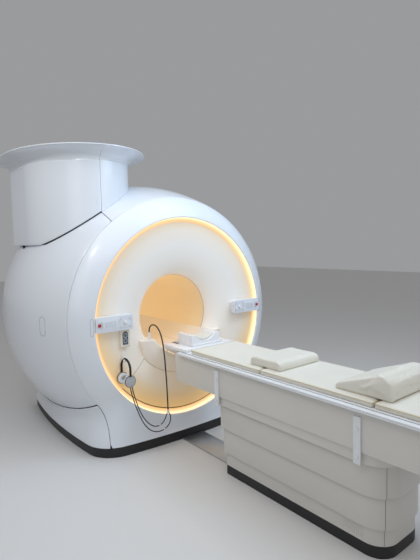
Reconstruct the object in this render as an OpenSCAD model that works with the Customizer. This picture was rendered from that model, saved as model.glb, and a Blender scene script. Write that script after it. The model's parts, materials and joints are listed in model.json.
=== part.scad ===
// Whole-body magnetic resonance scanner: a wide drum with a trumpet-mouthed bore
// and a glowing ring round it, and a lifting patient table docked at its mouth.
// The origin is on the floor under the middle of the magnet, +Y runs into the
// bore, +X to the right of someone who faces it, and +Z up.
// A depth is counted backwards from the plane of the light ring's outer edge.

/* [Magnet housing] */
// Height of the bore's axis above the floor
bore_z = 1050; // [1000:5:1080]
// Radius of the patient bore
bore_r = 350; // [346:1:354]
// Length of the housing from the light ring to the back
magnet_length = 1700; // [1600:10:1800]
// Width of the front cover from the light ring to the round seam
bezel_width = 172; // [160:2:190]
// Radius of the long arc that the drum's side follows
crown_arc = 2150; // [2000:50:2400]
// Depth at which the drum is widest
crown_depth = 950; // [920:10:980]
// Depth of the seam between the front cover and the side covers
seam_depth = 100; // [85:5:115]
// Wall of the moulded covers
cover_wall = 8; // [6:1:10]
// Gap between two covers at a seam
seam_gap = 3; // [2:0.5:5]
// Height of the seam between side cover and apron, at the front
seam_front_z = 428; // [412:4:444]
// Height of the same seam at the back
seam_rear_z = 270; // [250:5:290]

/* [Base] */
// Half width of the base where it is widest
skirt_half = 869; // [855:2:880]
// Height of the black kick skirt
skirt_h = 80; // [60:5:100]
// Wall of the kick skirt
skirt_wall = 14; // [12:1:18]
// How far the bowed front of the skirt stands before the light ring
skirt_front = 52; // [46:2:56]
// Radius of the bow in the skirt's front
skirt_bow = 4970; // [4700:30:5200]
// Radius of the bow in the skirt's sides
side_bow = 5360; // [5000:30:5700]
// Depth at which the skirt is widest
side_depth = 740; // [700:20:780]
// Radius of the skirt's front corners, seen from above
skirt_corner = 250; // [230:5:270]
// Sideways place where the seam between front cover and apron meets the skirt
foot_x = 738; // [725:2:750]

/* [Light ring and funnel] */
// Outer radius of the light ring
ring_r = 843; // [835:1:850]
// Radial width of the light ring
ring_width = 37; // [30:1:42]
// Depth of the light ring's inner edge
ring_depth = 35; // [30:1:40]
// Thickness of the light ring's diffuser
ring_wall = 4; // [3:0.5:6]
// Depth at which the funnel turns into the bore
funnel_depth = 215; // [205:1:225]
// Wall of the funnel
funnel_wall = 8; // [6:1:10]
// Radius of the round seam above the lower service panel
service_r = 500; // [490:2:512]
// Angle of the service panel's ends from straight down
service_angle = 50; // [46:1:54]
// Outer radius of the rear opening
rear_r = 520; // [480:5:560]
// Depth of the flare at the back of the bore
rear_flare = 215; // [180:5:240]

/* [Bridge] */
// Depth of the bridge's front edge
bridge_depth = 30; // [28:1:36]
// How far the bridge's ledge lies below the bore's axis
ledge_drop = 170; // [160:2:176]
// Half width of the ledge at its front corners
ledge_half = 420; // [410:2:430]
// Outer radius of the cradle in the bridge
cradle_r = 373; // [370:1:378]
// Thickness of the liner in the bottom of the bore
liner_wall = 6; // [5:0.5:7]

/* [Turret] */
// Sideways place of the turret's middle
turret_x = -588; // [-600:4:-570]
// Depth of the middle of the turret's rounded front
turret_depth = 907; // [890:5:930]
// Half width of the turret
turret_half = 444; // [430:2:456]
// Length of the turret's rounded front
turret_nose = 637; // [610:3:660]
// Depth of the turret's back
turret_rear = 1576; // [1540:4:1600]
// Radius of the turret's rear corners
turret_corner = 300; // [250:10:340]
// Height of the turret's straight wall above the drum's crown
turret_rise = 118; // [90:2:140]
// Height of the turret's side wall down to its lower edge
turret_drop = 673; // [640:5:700]
// Height of the flare up to the ceiling
flare_h = 90; // [70:2:120]
// How far the flare stands out
flare_out = 147; // [120:3:160]
// Sideways place of the seam between the turret's shells
turret_seam = -620; // [-640:5:-600]

/* [Magnet inside] */
// Outer radius of the vacuum vessel
vessel_r = 930; // [910:5:940]
// Radius of the vacuum vessel's warm bore
warm_r = 450; // [445:1:460]
// Depth of the vacuum vessel's front
vessel_front = 240; // [235:5:260]
// Distance from the vacuum vessel to the back of the housing
vessel_rear = 140; // [130:5:160]
// Wall of the vacuum vessel
vessel_wall = 12; // [10:1:16]
// Space between the vacuum vessel and the helium vessel
vessel_space = 36; // [30:2:44]
// Outer radius of the coils
coil_r = 635; // [620:5:660]
// Width of each main coil
coil_w = 110; // [90:5:120]
// Radial thickness of the gradient coil
gradient_wall = 58; // [50:1:60]
// Radius of the helium neck under the turret
neck_r = 140; // [120:5:150]
// Radius of the quench pipe
quench_r = 75; // [60:5:85]

/* [Table] */
// Half width of the lowest column panel
column_half = 200; // [196:1:206]
// Step outwards from each telescopic panel to the next
panel_step = 14; // [13:1:16]
// Wall of the telescopic panels
panel_wall = 4; // [3:0.5:5]
// Distance from the magnet's front plane to the column
column_front = 731; // [715:4:750]
// Length of the lowest column panel
column_length = 1249; // [1210:3:1270]
// Radius of the column's foot corners, seen from above
foot_corner = 120; // [90:5:140]
// Height of the black plinth
plinth_h = 68; // [60:2:74]
// Height of the low sliding panel's lower edge
low_panel_z = 163; // [160:1:170]
// Height of the middle sliding panel's lower edge
mid_panel_z = 343; // [336:1:350]
// Height of the carrier's apron edge
apron_z = 519; // [515:1:528]
// Half width of the carrier
carrier_half = 260; // [258:1:264]
// Distance from the magnet's front plane to the carrier's nose
nose_front = 115; // [110:1:125]
// Distance from the magnet's front plane to the carrier's foot end
foot_front = 2390; // [2350:10:2450]
// Height of the carrier's underside
beam_z = 585; // [580:1:592]
// Height of the carrier's top edge
carrier_top = 800; // [796:1:802]
// Height of the side rails' top
rail_top = 822; // [820:1:824]
// Outer half width of the side rails
rail_half = 293; // [288:1:298]

/* [Tabletop] */
// Running gap between the tabletop's hull and the troughs
hull_gap = 6; // [5:0.5:7]
// Height of the guide strips that carry the tabletop
tabletop_z = 822; // [818:1:824]
// Height of the raised head tray above the tabletop
tray_h = 22; // [18:1:26]
// Length of the raised head tray
tray_length = 350; // [320:5:380]
// Gap between the tabletop's head end and the bridge
dock_gap = 8; // [6:1:12]
// Half width of the mattress
pad_half = 237; // [225:1:240]
// Thickness of the mattress
pad_h = 35; // [30:1:45]

/* [Controls] */
// Height of the control panels' middle above the bore's axis
panel_rise = 21; // [10:1:30]
// Height of a control panel
panel_h = 120; // [112:2:128]
// Sideways place of a control panel's inner end
panel_inner = 530; // [520:2:545]
// How far a control panel stands before the light ring
panel_front = 22; // [18:1:26]
// Radius of the emergency stop's cap
stop_r = 13; // [11:1:15]
// Radius of the jog knob
jog_r = 15; // [12:1:17]

/* [Hidden] */

fit = 0.3;
front_y = -magnet_length / 2;
white = [0.90, 0.91, 0.93];
warm_white = [0.93, 0.90, 0.85];
steel = [0.62, 0.64, 0.67];
seam_r = ring_r + bezel_width;
crown_r = seam_r + crown_arc - sqrt(pow(crown_arc, 2) - pow(crown_depth - seam_depth, 2));
flare_z = bore_z + crown_r + turret_rise;
ceiling_z = flare_z + flare_h;
turret_low = flare_z - turret_drop;
rear_depth = magnet_length - 60;
ledge_z = bore_z - ledge_drop;
ring_in = ring_r - ring_width;
funnel_r = ring_in - 6;
trough_r = bore_r - liner_wall;
hull_r = trough_r - hull_gap;
lip_r = ring_r + 7;
lip_front = 12;
corner_angle = asin((bore_z - seam_front_z) / seam_r);
corner_x = seam_r * cos(corner_angle);
vessel_back = magnet_length - vessel_rear;
panel_z = bore_z + panel_rise;
head_y = front_y + bridge_depth - dock_gap;
foot_y = front_y - foot_front;
column_y = front_y - column_front;
nose_y = front_y - nose_front;

// Radius of the drum at a depth behind the light ring's plane
function shell_r(d) = crown_r - crown_arc + sqrt(pow(crown_arc, 2) - pow(d - crown_depth, 2));
// Height of the seam between side cover and apron at a depth
seam_level = 1200;
function seam_z(d) = d >= seam_level ? seam_rear_z : seam_rear_z + (seam_front_z - seam_rear_z)
    * pow((seam_level - d) / (seam_level - seam_depth), 3);
// Half width of the drum at that seam
function seam_x(d) = sqrt(pow(shell_r(d), 2) - pow(bore_z - seam_z(d), 2));
// Plan of the base: a bowed front and sides with corner arcs tangent to both
function crossing(a, ra, b, rb) = let (v = b - a, l = norm(v),
        s = (ra * ra - rb * rb + l * l) / (2 * l), h = sqrt(ra * ra - s * s))
    a + s / l * v + h / l * [-v[1], v[0]];
front_centre = [0, skirt_bow - skirt_front];
side_centre = [skirt_half - side_bow, side_depth];
corner = crossing(front_centre, skirt_bow - skirt_corner, side_centre, side_bow - skirt_corner);
front_joint = front_centre + skirt_bow * unit(corner - front_centre);
side_joint = side_centre + side_bow * unit(corner - side_centre);
front_turn = asin(front_joint[0] / skirt_bow);
side_turn = atan2(side_joint[1] - corner[1], side_joint[0] - corner[0]);
function skirt_depth(x) = abs(x) <= front_joint[0]
    ? front_centre[1] - sqrt(pow(skirt_bow, 2) - x * x)
    : corner[1] - sqrt(max(0, pow(skirt_corner, 2) - pow(abs(x) - corner[0], 2)));
// Half width of the skirt at a depth
function skirt_x(d) = d >= side_joint[1]
    ? side_centre[0] + sqrt(pow(side_bow, 2) - pow(d - side_depth, 2))
    : corner[0] + sqrt(pow(skirt_corner, 2) - pow(corner[1] - d, 2));
function unit(v) = v / norm(v);
function lerp(a, b, t) = a + (b - a) * t;
function flip(list) = [for (i = [len(list) - 1 : -1 : 0]) list[i]];
// Points of an arc in the plane
function arc(c, r, a0, a1, n) = [for (i = [0 : n]) let (a = lerp(a0, a1, i / n))
    [c[0] + r * cos(a), c[1] + r * sin(a)]];

// Turns depth along the bore into +Y, with the bore's axis at its height
module at_bore() {
    translate([0, front_y, bore_z]) rotate([-90, 0, 0]) children();
}
module revolve(points) {
    at_bore() rotate_extrude($fn = 144) polygon(points);
}
// Extrudes a shape drawn in X and Z backwards from one depth to another
module slab(d0, d1) {
    translate([0, front_y + d1, 0]) rotate([90, 0, 0]) linear_extrude(d1 - d0) children();
}
// Extrudes a shape drawn in Y and Z across X
module across(x0, x1) {
    translate([x0, 0, 0]) rotate([90, 0, 90]) linear_extrude(x1 - x0) children();
}
module rounded_rect(x0, z0, x1, z1, r) {
    translate([x0 + r, z0]) square([x1 - x0 - 2 * r, z1 - z0]);
    translate([x0, z0 + r]) square([x1 - x0, z1 - z0 - 2 * r]);
    for (x = [x0 + r, x1 - r], z = [z0 + r, z1 - r]) translate([x, z]) circle(r, $fn = 32);
}
// Closed skin through rings of points; the rings join end to end when looped
function skin_faces(n, m, looped) = concat(
    [for (i = [0 : n - (looped ? 1 : 2)], j = [0 : m - 1])
        let (a = i * m, b = ((i + 1) % n) * m, k = (j + 1) % m)
        each [[a + j, a + k, b + j], [a + k, b + k, b + j]]],
    looped ? [] : [for (j = [0 : m / 2 - 2], e = [0, (n - 1) * m])
        e > 0 ? [e + j, e + j + 1, e + m - 2 - j, e + m - 1 - j] : [m - 1 - j, m - 2 - j, j + 1, j]]);
module skin(rings, looped = false) {
    polyhedron([for (ring = rings, p = ring) p],
        skin_faces(len(rings), len(rings[0]), looped), convexity = 8);
}
// A round bar between two points
module bar(a, b, r) {
    v = b - a;
    translate(a) rotate([0, acos(v[2] / norm(v)), atan2(v[1], v[0])])
        cylinder(h = norm(v), r = r, $fn = 32);
}

// Front cover: one moulding from the light ring's lip out to the round seam,
// and down to the bowed front of the skirt
foot = [foot_x, skirt_depth(foot_x)];
corner_delta = 90 - corner_angle;
foot_delta = 0.8 * corner_delta;
function bezel_edge(delta, side) =
    delta >= corner_delta
    ? [side * seam_r * sin(delta), seam_depth, bore_z - seam_r * cos(delta)]
    : delta >= foot_delta
    ? let (p = apron_line(seam_depth, foot, (corner_delta - delta) / (corner_delta - foot_delta)))
        [side * p[0], p[1], p[2]]
    : let (x = foot_x * delta / foot_delta) [side * x, skirt_depth(x), skirt_h];
function ring_point(r, d, delta, side) = [side * r * sin(delta), d, bore_z - r * cos(delta)];
function bezel_skin(delta, side, t, back) =
    let (p = ring_point(lip_r, -lip_front, delta, side), q = bezel_edge(delta, side),
        m = [lerp(p[0], q[0], 0.667), lerp(p[1], q[1], 0.375), lerp(p[2], q[2], 0.667)])
    (1 - t) * (1 - t) * p + 2 * t * (1 - t) * m + t * t * q + [0, back * (1 - edge_thin * pow(t, 3)), 0];
// The skin thins towards the round seam, to stay clear of the covers behind it
edge_thin = 1 - (seam_gap - 0.7) / cover_wall;
bezel_steps = [for (t = [0 : 0.2 : 1.001]) t];
lip_back = ring_wall + 24;
foot_steps = 12;
arc_steps = 40;
// The chords of the loft stay outside the light ring
bezel_chord = max(foot_delta / foot_steps, (180 - corner_delta) / arc_steps);
lip_in = ring_r / cos(bezel_chord / 2);
function bezel_ring(delta, side) = [for (p = concat(
    [ring_point(lip_in, lip_back, delta, side), ring_point(lip_in, -lip_front + 6, delta, side)],
    [for (t = bezel_steps) bezel_skin(delta, side, t, 0)],
    [for (t = flip(bezel_steps)) bezel_skin(delta, side, t, cover_wall)],
    [ring_point(lip_r, lip_back, delta, side)])) p + [0, front_y, 0]];
bezel_deltas = concat([for (i = [0 : foot_steps - 1]) foot_delta * i / foot_steps],
    [for (i = [0 : 7]) lerp(foot_delta, corner_delta, i / 8)],
    [for (i = [0 : arc_steps]) lerp(corner_delta, 180, i / arc_steps)]);
module front_bezel() color(white) {
    last = len(bezel_deltas) - 1;
    skin(concat([for (i = [0 : last]) bezel_ring(bezel_deltas[i], 1)],
        [for (i = [last - 1 : -1 : 1]) bezel_ring(bezel_deltas[i], -1)]), looped = true);
}

// Drum covers: shells of revolution about the bore's axis
cover_steps = 10;
cover_start = seam_depth + seam_gap;
function drum_line(grow, d0, d1) = [for (i = [0 : cover_steps])
    let (d = lerp(d0, d1, i / cover_steps)) [shell_r(d) + grow, d]];
module drum_shell() {
    revolve(concat(drum_line(0, cover_start, rear_depth),
        flip(drum_line(-cover_wall, cover_start, rear_depth))));
}
// The drum as a filled body, grown by a gap
module drum_body(grow) {
    revolve(concat([[0, 0]], [[shell_r(0) + grow, 0]], drum_line(grow, 0, magnet_length),
        [[0, magnet_length]]));
}
seam_steps = 14;
function seam_depths(d0, d1) = [for (i = [0 : seam_steps]) lerp(d0, d1, i / seam_steps)];
// Everything under the curved seam between side covers and aprons
module below_seam(gap) {
    across(-crown_r - 100, crown_r + 100) polygon(concat(
        [[front_y, -crown_r], [front_y, seam_z(seam_depth) + gap]],
        [for (d = seam_depths(cover_start, magnet_length)) [front_y + d, seam_z(d) + gap]],
        [[-front_y + 100, seam_rear_z + gap], [-front_y + 100, -crown_r]]));
}
top_half = -turret_seam;
module top_cover() color(white) difference() {
    intersection() {
        drum_shell();
        translate([-top_half + seam_gap / 2, front_y, bore_z])
            cube([2 * top_half - seam_gap, magnet_length, 1.2 * crown_r]);
    }
    turret_opening();
    turret_pins(pin_r + 0.8);
}
// Groove round the flush grip in each side cover
grip_depth = 300;
grip_width = 166;
grip_z = bore_z - 87;
grip_h = 180;
grip_groove = 3;
module grip_outline(inset) {
    y = front_y + grip_depth;
    rounded_rect(y + inset, grip_z + inset, y + grip_width - inset, grip_z + grip_h - inset,
        grip_width / 2 - inset - 1);
}
module grip_cut() difference() {
    across(-1.2 * crown_r, 1.2 * crown_r) difference() {
        grip_outline(0);
        grip_outline(grip_groove);
    }
    drum_body(-grip_groove);
}
module side_cover(side) {
    difference() {
        drum_shell();
        below_seam(seam_gap);
        grip_cut();
        translate([side > 0 ? -2 * crown_r : -top_half - seam_gap / 2, front_y - 1, -crown_r])
            cube([2 * crown_r + top_half + seam_gap / 2, magnet_length + 2, 4 * crown_r]);
    }
}
module side_cover_left() color(white) difference() {
    side_cover(-1);
    turret_opening();
}
module side_cover_right() color(white) side_cover(1);

// Aprons: skins lofted from the curved seam down to the skirt; each rib leaves the
// drum along its surface and comes down upright on its foot
apron_end = magnet_length - cover_wall - 1;
function bezier(a, b, c, d, t) = pow(1 - t, 3) * a + 3 * t * pow(1 - t, 2) * b
    + 3 * t * t * (1 - t) * c + pow(t, 3) * d;
function apron_line(d, foot, t) = let (z = seam_z(d), x = seam_x(d), drop = z - skirt_h)
    bezier([x, d, z], [x, d, z] - 0.35 * drop / shell_r(d) * [bore_z - z, 0, x],
        [foot[0], foot[1], skirt_h + 0.43 * drop], [foot[0], foot[1], skirt_h], t);
rib_steps = 8;
function rib(d, foot, out, side) = let (line = [for (i = [0 : rib_steps]) apron_line(d, foot, i / rib_steps)],
        inner = [for (p = flip(line)) p - cover_wall * [out[0], out[1], 0]])
    [for (p = concat(line, inner)) [side * p[0], front_y + p[1], p[2]]];
apron_turn = 300;
function apron_ribs(side) = let (a0 = acos((foot_x + seam_gap - corner[0]) / skirt_corner)) concat(
    [for (i = [0 : 7]) let (a = lerp(-a0, side_turn, i / 8), out = [cos(a), sin(a)])
        rib(lerp(cover_start, apron_turn, i / 8), corner + skirt_corner * out, out, side)],
    [for (i = [0 : seam_steps]) let (d = lerp(side_joint[1], apron_end, i / seam_steps))
        rib(lerp(apron_turn, apron_end, i / seam_steps), [skirt_x(d), d], [1, 0], side)]);
module apron(side) color(white) skin(side > 0 ? apron_ribs(side) : flip(apron_ribs(side)));

// Kick skirt: an upright black wall just inside the aprons' lower edge
function tail(list) = [for (i = [1 : len(list) - 1]) list[i]];
function skirt_line(inset) = let (end = asin((apron_end - inset - side_depth) / (side_bow - inset)),
        side = concat(arc(front_centre, skirt_bow - inset, -90, front_turn - 90, 6),
            tail(arc(corner, skirt_corner - inset, front_turn - 90, side_turn, 12)),
            tail(arc(side_centre, side_bow - inset, side_turn, end, 10))))
    concat([for (p = side) [p[0], front_y + p[1]]],
        [for (p = flip(tail(side))) [-p[0], front_y + p[1]]]);
module base_skirt() color([0.05, 0.05, 0.055]) linear_extrude(skirt_h) difference() {
    polygon(skirt_line(2));
    polygon(skirt_line(2 + skirt_wall));
}

// Rear cover: the drum's rolled edge, and a flat back down to the skirt
module rear_cover() color(white) {
    edge = shell_r(rear_depth + seam_gap);
    flat = magnet_length;
    difference() {
        revolve([[edge, rear_depth + seam_gap], [edge - 14, flat - 26], [edge - 40, flat - 6],
            [edge - 80, flat], [edge - 80, flat - cover_wall], [edge - 46, flat - cover_wall - 6],
            [edge - 23, flat - 28], [edge - cover_wall, rear_depth + seam_gap]]);
        translate([-2 * crown_r, front_y, seam_rear_z + seam_gap - 2 * crown_r])
            cube([4 * crown_r, 2 * magnet_length, 2 * crown_r]);
    }
    slab(flat - cover_wall, flat) difference() {
        union() {
            translate([0, bore_z]) circle(edge - 79, $fn = 96);
            polygon([for (s = [-1, 1], i = [0 : rib_steps])
                let (t = i / rib_steps, p = apron_line(flat, [skirt_x(flat), flat], s < 0 ? t : 1 - t))
                [s * p[0], p[2]]]);
        }
        translate([0, bore_z]) circle(rear_r + 12, $fn = 96);
        translate([-crown_r, skirt_h - crown_r]) square([2 * crown_r, crown_r]);
    }
}

// Turret over the helium neck: a rounded shell in two mouldings, cut to the drum
function turret_line(grow) = concat(
    [for (i = [0 : 48]) let (a = 180 + 180 * i / 48)
        [turret_x + (turret_half + grow) * cos(a),
            front_y + turret_depth + (turret_nose + grow) * sin(a)]],
    arc([turret_x + turret_half - turret_corner, front_y + turret_rear - turret_corner],
        turret_corner + grow, 0, 90, 12),
    arc([turret_x - turret_half + turret_corner, front_y + turret_rear - turret_corner],
        turret_corner + grow, 90, 180, 12));
module turret_opening() {
    translate([0, 0, bore_z]) linear_extrude(2 * crown_r) polygon(turret_line(-40));
}
module turret_wall(drum_gap, low) {
    difference() {
        translate([0, 0, low]) linear_extrude(flare_z - low) difference() {
            polygon(turret_line(0));
            polygon(turret_line(-cover_wall));
        }
        drum_body(drum_gap);
    }
}
module turret_shell() color(white) difference() {
    turret_wall(12, turret_low);
    translate([turret_seam - seam_gap / 2, front_y, bore_z])
        cube([2 * crown_r, 2 * magnet_length, 2 * crown_r]);
}
// Pins inside the front shell, which drop into the drum's top cover
pin_r = 5;
pin_x = turret_x + turret_half - cover_wall - 16;
pin_low = bore_z + shell_r(turret_depth + 340) - 40;
pin_top = bore_z + crown_r + 4;
module turret_pins(r) {
    for (d = [turret_depth + 40, turret_depth + 340]) translate([pin_x, front_y + d, pin_low])
        cylinder(h = pin_top - pin_low + 1, r = r, $fn = 32);
}
module turret_front() color(white) {
    intersection() {
        turret_wall(seam_gap, turret_low);
        translate([turret_seam + seam_gap / 2, front_y, bore_z])
            cube([2 * crown_r, 2 * magnet_length, 2 * crown_r]);
    }
    turret_pins(pin_r);
    for (d = [turret_depth + 40, turret_depth + 340])
        translate([pin_x - 14, front_y + d - 15, pin_top]) cube([31, 30, 30]);
}
function collar_ring(t, inset) = let (z = lerp(flare_z, ceiling_z, t),
        grow = flare_out * (1 - sqrt(1 - t * t)) - inset) [for (p = turret_line(grow)) [p[0], p[1], z]];
module ceiling_collar() color(white) difference() {
    levels = [0, 0.35, 0.6, 0.8, 0.93, 1];
    skin(concat([for (t = levels) collar_ring(t, 0)],
        [for (t = flip(levels)) collar_ring(t, cover_wall)]), looped = true);
    // The turret's seam runs on up to the collar's rim
    translate([turret_seam - seam_gap / 2, front_y, flare_z - 1])
        cube([seam_gap, 2 * magnet_length, flare_h - 12]);
}

// Light ring and funnel
module light_ring() color([1.0, 0.86, 0.55]) {
    revolve([[ring_r - fit, 0], [ring_r - 7, ring_depth - 3], [ring_in, ring_depth],
        [ring_in, ring_depth + ring_wall], [ring_r - fit, ring_depth + ring_wall]]);
}
funnel_steps = 14;
function funnel_line(back) = [for (i = [0 : funnel_steps]) let (a = 90 * i / funnel_steps)
    [funnel_r - (funnel_r - bore_r - back) * sin(a),
        funnel_depth - (funnel_depth - ring_depth - back) * cos(a)]];
// Depth of the funnel's face at a radius
function funnel_at(r) = funnel_depth - (funnel_depth - ring_depth)
    * sqrt(1 - pow((funnel_r - r) / (funnel_r - bore_r), 2));
module funnel_wall_body() {
    revolve(concat([[ring_in - fit, ring_depth + funnel_wall], [ring_in - fit, ring_depth]],
        funnel_line(0), flip(funnel_line(funnel_wall))));
}
// All that lies behind the funnel's face, out to a given radius
module behind_funnel(gap) {
    revolve(concat([[ring_r + 60, ring_depth + gap], [ring_in, ring_depth + gap]],
        [for (p = funnel_line(0)) [p[0] + gap, p[1] + gap]],
        [[bore_r, funnel_depth + 200], [ring_r + 60, funnel_depth + 200]]));
}
// Wedge that holds the lower service panel, drawn in X and Z
service_gap = 0.8;
module service_wedge(gap) {
    r = 2 * ring_r;
    difference() {
        translate([0, bore_z]) intersection() {
            circle(ring_in - 8 + gap, $fn = 96);
            polygon([[0, gap * 1.4], [r * sin(service_angle), gap * 1.4 - r * cos(service_angle)],
                [0, -r], [-r * sin(service_angle), gap * 1.4 - r * cos(service_angle)]]);
        }
        translate([0, bore_z]) circle(service_r + service_gap - gap, $fn = 96);
    }
}
// Outline of the bridge under its ledge, drawn in X and Z
bridge_low_x = service_r * sin(service_angle);
bridge_low_z = bore_z - service_r * cos(service_angle);
module bridge_outline(gap) {
    slope = (ledge_half - bridge_low_x) / (ledge_z - bridge_low_z);
    bottom = bore_z - service_r - 50;
    x = ledge_half - slope * (ledge_z - bottom);
    intersection() {
        translate([0, bore_z]) circle(service_r + gap, $fn = 96);
        polygon([[-ledge_half - gap, ledge_z + gap], [ledge_half + gap, ledge_z + gap],
            [x + gap, bottom], [-x - gap, bottom]]);
    }
}
module front_funnel() color(warm_white) difference() {
    funnel_wall_body();
    slab(0, funnel_depth + 1) {
        service_wedge(service_gap);
        bridge_outline(fit);
    }
}
module service_panel() color(warm_white) intersection() {
    funnel_wall_body();
    slab(0, funnel_depth) service_wedge(0);
}
// Bridge: a moulded shoulder that stands out of the funnel round the cradle
bridge_steps = 8;
function bridge_line() = let (w = service_r - cradle_r, back = funnel_at(service_r) - 4)
    [for (i = [0 : bridge_steps]) let (t = i / bridge_steps, r = cradle_r + w * t)
        [r, bridge_depth + (back - bridge_depth) * (0.55 * t + 0.45 * (1 - sqrt(1 - t * t)))]];
module bridge() color(warm_white) intersection() {
    revolve(concat(bridge_line(), [for (i = [0 : 8])
        let (r = lerp(service_r, cradle_r, i / 8)) [r, funnel_at(r) + funnel_wall]]));
    slab(0, funnel_depth + 20) bridge_outline(0);
}

// Liner: the white cradle in the bridge and the trough through the bore, with
// two guide strips that the tabletop glides on
strip_angle = 32;
strip_half = 2.5;
module strip_section(r0, r1) {
    for (s = [-1, 1]) translate([0, bore_z]) polygon(concat(
        arc([0, 0], r0, -90 + s * strip_angle - strip_half, -90 + s * strip_angle + strip_half, 2),
        arc([0, 0], r1, -90 + s * strip_angle + strip_half, -90 + s * strip_angle - strip_half, 2)));
}
bore_back = magnet_length - rear_flare;
module bore_liner() color([0.96, 0.96, 0.97]) {
    intersection() {
        revolve([[trough_r, bridge_depth], [cradle_r - fit, bridge_depth],
            [cradle_r - fit, funnel_depth - fit], [bore_r - fit, funnel_depth - fit],
            [bore_r - fit, bore_back], [trough_r, bore_back]]);
        slab(0, magnet_length) translate([-bore_r - 60, bore_z - 2 * bore_r])
            square([2 * bore_r + 120, 2 * bore_r - ledge_drop]);
    }
    slab(bridge_depth + 20, bore_back - 10) strip_section(hull_r + fit, trough_r + 1);
}
module bore_tube() color(warm_white) {
    revolve([[bore_r, funnel_depth + fit], [bore_r + funnel_wall, funnel_depth + fit],
        [bore_r + funnel_wall, bore_back], [bore_r, bore_back]]);
}
// The same at the back, opening out to the rear cover
rear_step = 6;
function rear_line(back) = [for (i = [0 : 8]) let (a = 90 * i / 8)
    [rear_r - (rear_r - bore_r - rear_step - back) * cos(a), bore_back + (rear_flare - back) * sin(a)]];
module rear_funnel() color(warm_white) {
    revolve(concat(rear_line(0), [[rear_r + 11, magnet_length],
        [rear_r + 11, magnet_length - funnel_wall]], flip(rear_line(funnel_wall))));
}

// Magnet proper
module ring_shell(ri, ro, d0, d1, wall) {
    difference() {
        revolve([[ri, d0], [ro, d0], [ro, d1], [ri, d1]]);
        revolve([[ri + wall, d0 + wall], [ro - wall, d0 + wall], [ro - wall, d1 - wall],
            [ri + wall, d1 - wall]]);
    }
}
neck_y = front_y + 800;
neck_x = -560;
module neck_drill(r) translate([neck_x, neck_y, bore_z]) cylinder(h = crown_r, r = r, $fn = 64);
module vacuum_vessel() color(steel) {
    difference() {
        ring_shell(warm_r, vessel_r, vessel_front, vessel_back, vessel_wall);
        neck_drill(neck_r - 20);
    }
    cover_stays();
}
// Stays that carry the drum covers where the drum is widest
stay_turns = [-112, -80, 8, 30, 62, 104];
stay_reach = shell_r(lerp(cover_start, rear_depth, 0.5)) - cover_wall - 2 * fit;
module cover_stays() at_bore() for (a = stay_turns) rotate([0, 0, a - 90])
    translate([0, 0, lerp(cover_start, rear_depth, 0.55)]) rotate([0, 90, 0]) {
        translate([0, 0, vessel_r - 6]) cylinder(h = stay_reach - vessel_r + 6, r = 12, $fn = 32);
        translate([0, 0, vessel_r - 6]) cylinder(h = 14, r = 24, $fn = 32);
    }
cold_r = vessel_r - vessel_wall - vessel_space;
cold_in = warm_r + vessel_wall + vessel_space;
cold_front = vessel_front + vessel_wall + vessel_space;
cold_back = vessel_back - vessel_wall - vessel_space;
module helium_vessel() color([0.72, 0.74, 0.76]) {
    difference() {
        ring_shell(cold_in, cold_r, cold_front, cold_back, 10);
        neck_drill(neck_r - 50);
    }
    // Struts that hold the cold vessel inside the warm one
    for (a = [20, 160, 200, 340], d = [cold_front + 150, cold_back - 150]) at_bore()
        rotate([0, 0, a]) translate([cold_r - 2, 0, d]) rotate([0, 90, 0])
            cylinder(h = vessel_space + 1.4, r = 14, $fn = 24);
}
former_wall = 25;
former_r = cold_in + 14 + former_wall;
coil_count = 6;
coil_pitch = (cold_back - cold_front - 80 - coil_w) / (coil_count - 1);
function coil_at(i) = cold_front + 40 + i * coil_pitch;
module coil_former() color([0.75, 0.72, 0.60]) {
    revolve([[former_r - former_wall, cold_front + 10 + fit], [former_r, cold_front + 10 + fit],
        [former_r, cold_back - 10 - fit], [former_r - former_wall, cold_back - 10 - fit]]);
    for (i = [0 : coil_count - 1], d = [coil_at(i) - 12 - fit, coil_at(i) + coil_w + fit])
        revolve([[former_r - 1, d], [coil_r, d], [coil_r, d + 12], [former_r - 1, d + 12]]);
}
module main_coils() color([0.72, 0.42, 0.20]) {
    for (i = [0 : coil_count - 1]) revolve([[former_r + fit, coil_at(i)], [coil_r - 5, coil_at(i)],
        [coil_r - 5, coil_at(i) + coil_w], [former_r + fit, coil_at(i) + coil_w]]);
}
gradient_r = warm_r - fit;
module gradient_coil() color([0.78, 0.76, 0.70]) {
    revolve([[gradient_r - gradient_wall, vessel_front + 20], [gradient_r, vessel_front + 20],
        [gradient_r, vessel_back - 20], [gradient_r - gradient_wall, vessel_back - 20]]);
}
body_in = bore_r + funnel_wall + fit;
body_out = gradient_r - gradient_wall - fit;
body_front = vessel_front + 160;
body_back = vessel_back - 160;
rung_count = 16;
module body_coil() color([0.80, 0.50, 0.25]) {
    revolve([[body_in, body_front], [body_in + 5, body_front], [body_in + 5, body_back],
        [body_in, body_back]]);
    for (d = [body_front, body_back - 60])
        revolve([[body_in + 4, d], [body_out, d], [body_out, d + 60], [body_in + 4, d + 60]]);
    for (i = [0 : rung_count - 1]) at_bore() rotate([0, 0, i * 360 / rung_count])
        translate([body_in + 4, -15, body_front + 50])
            cube([6, 30, body_back - body_front - 100]);
}
module base_frame() color([0.35, 0.37, 0.40]) {
    foot_x = 420;
    foot_d = 330;
    lean = asin(foot_x / vessel_r);
    translate([-foot_x - 90, front_y + foot_d - 90, 0])
        cube([2 * foot_x + 180, magnet_length - 2 * foot_d + 180, 14]);
    for (s = [-1, 1], y = [front_y + foot_d, -front_y - foot_d]) difference() {
        translate([s * foot_x - 70, y - 80, 10]) cube([140, 160, bore_z - 10]);
        // The post's top lies flat against the vessel
        translate([0, y, bore_z]) rotate([0, -s * lean, 0])
            translate([-vessel_r, -100, -vessel_r - fit]) cube([2 * vessel_r, 200, 2 * vessel_r]);
    }
}
neck_top = flare_z - 308;
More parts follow.
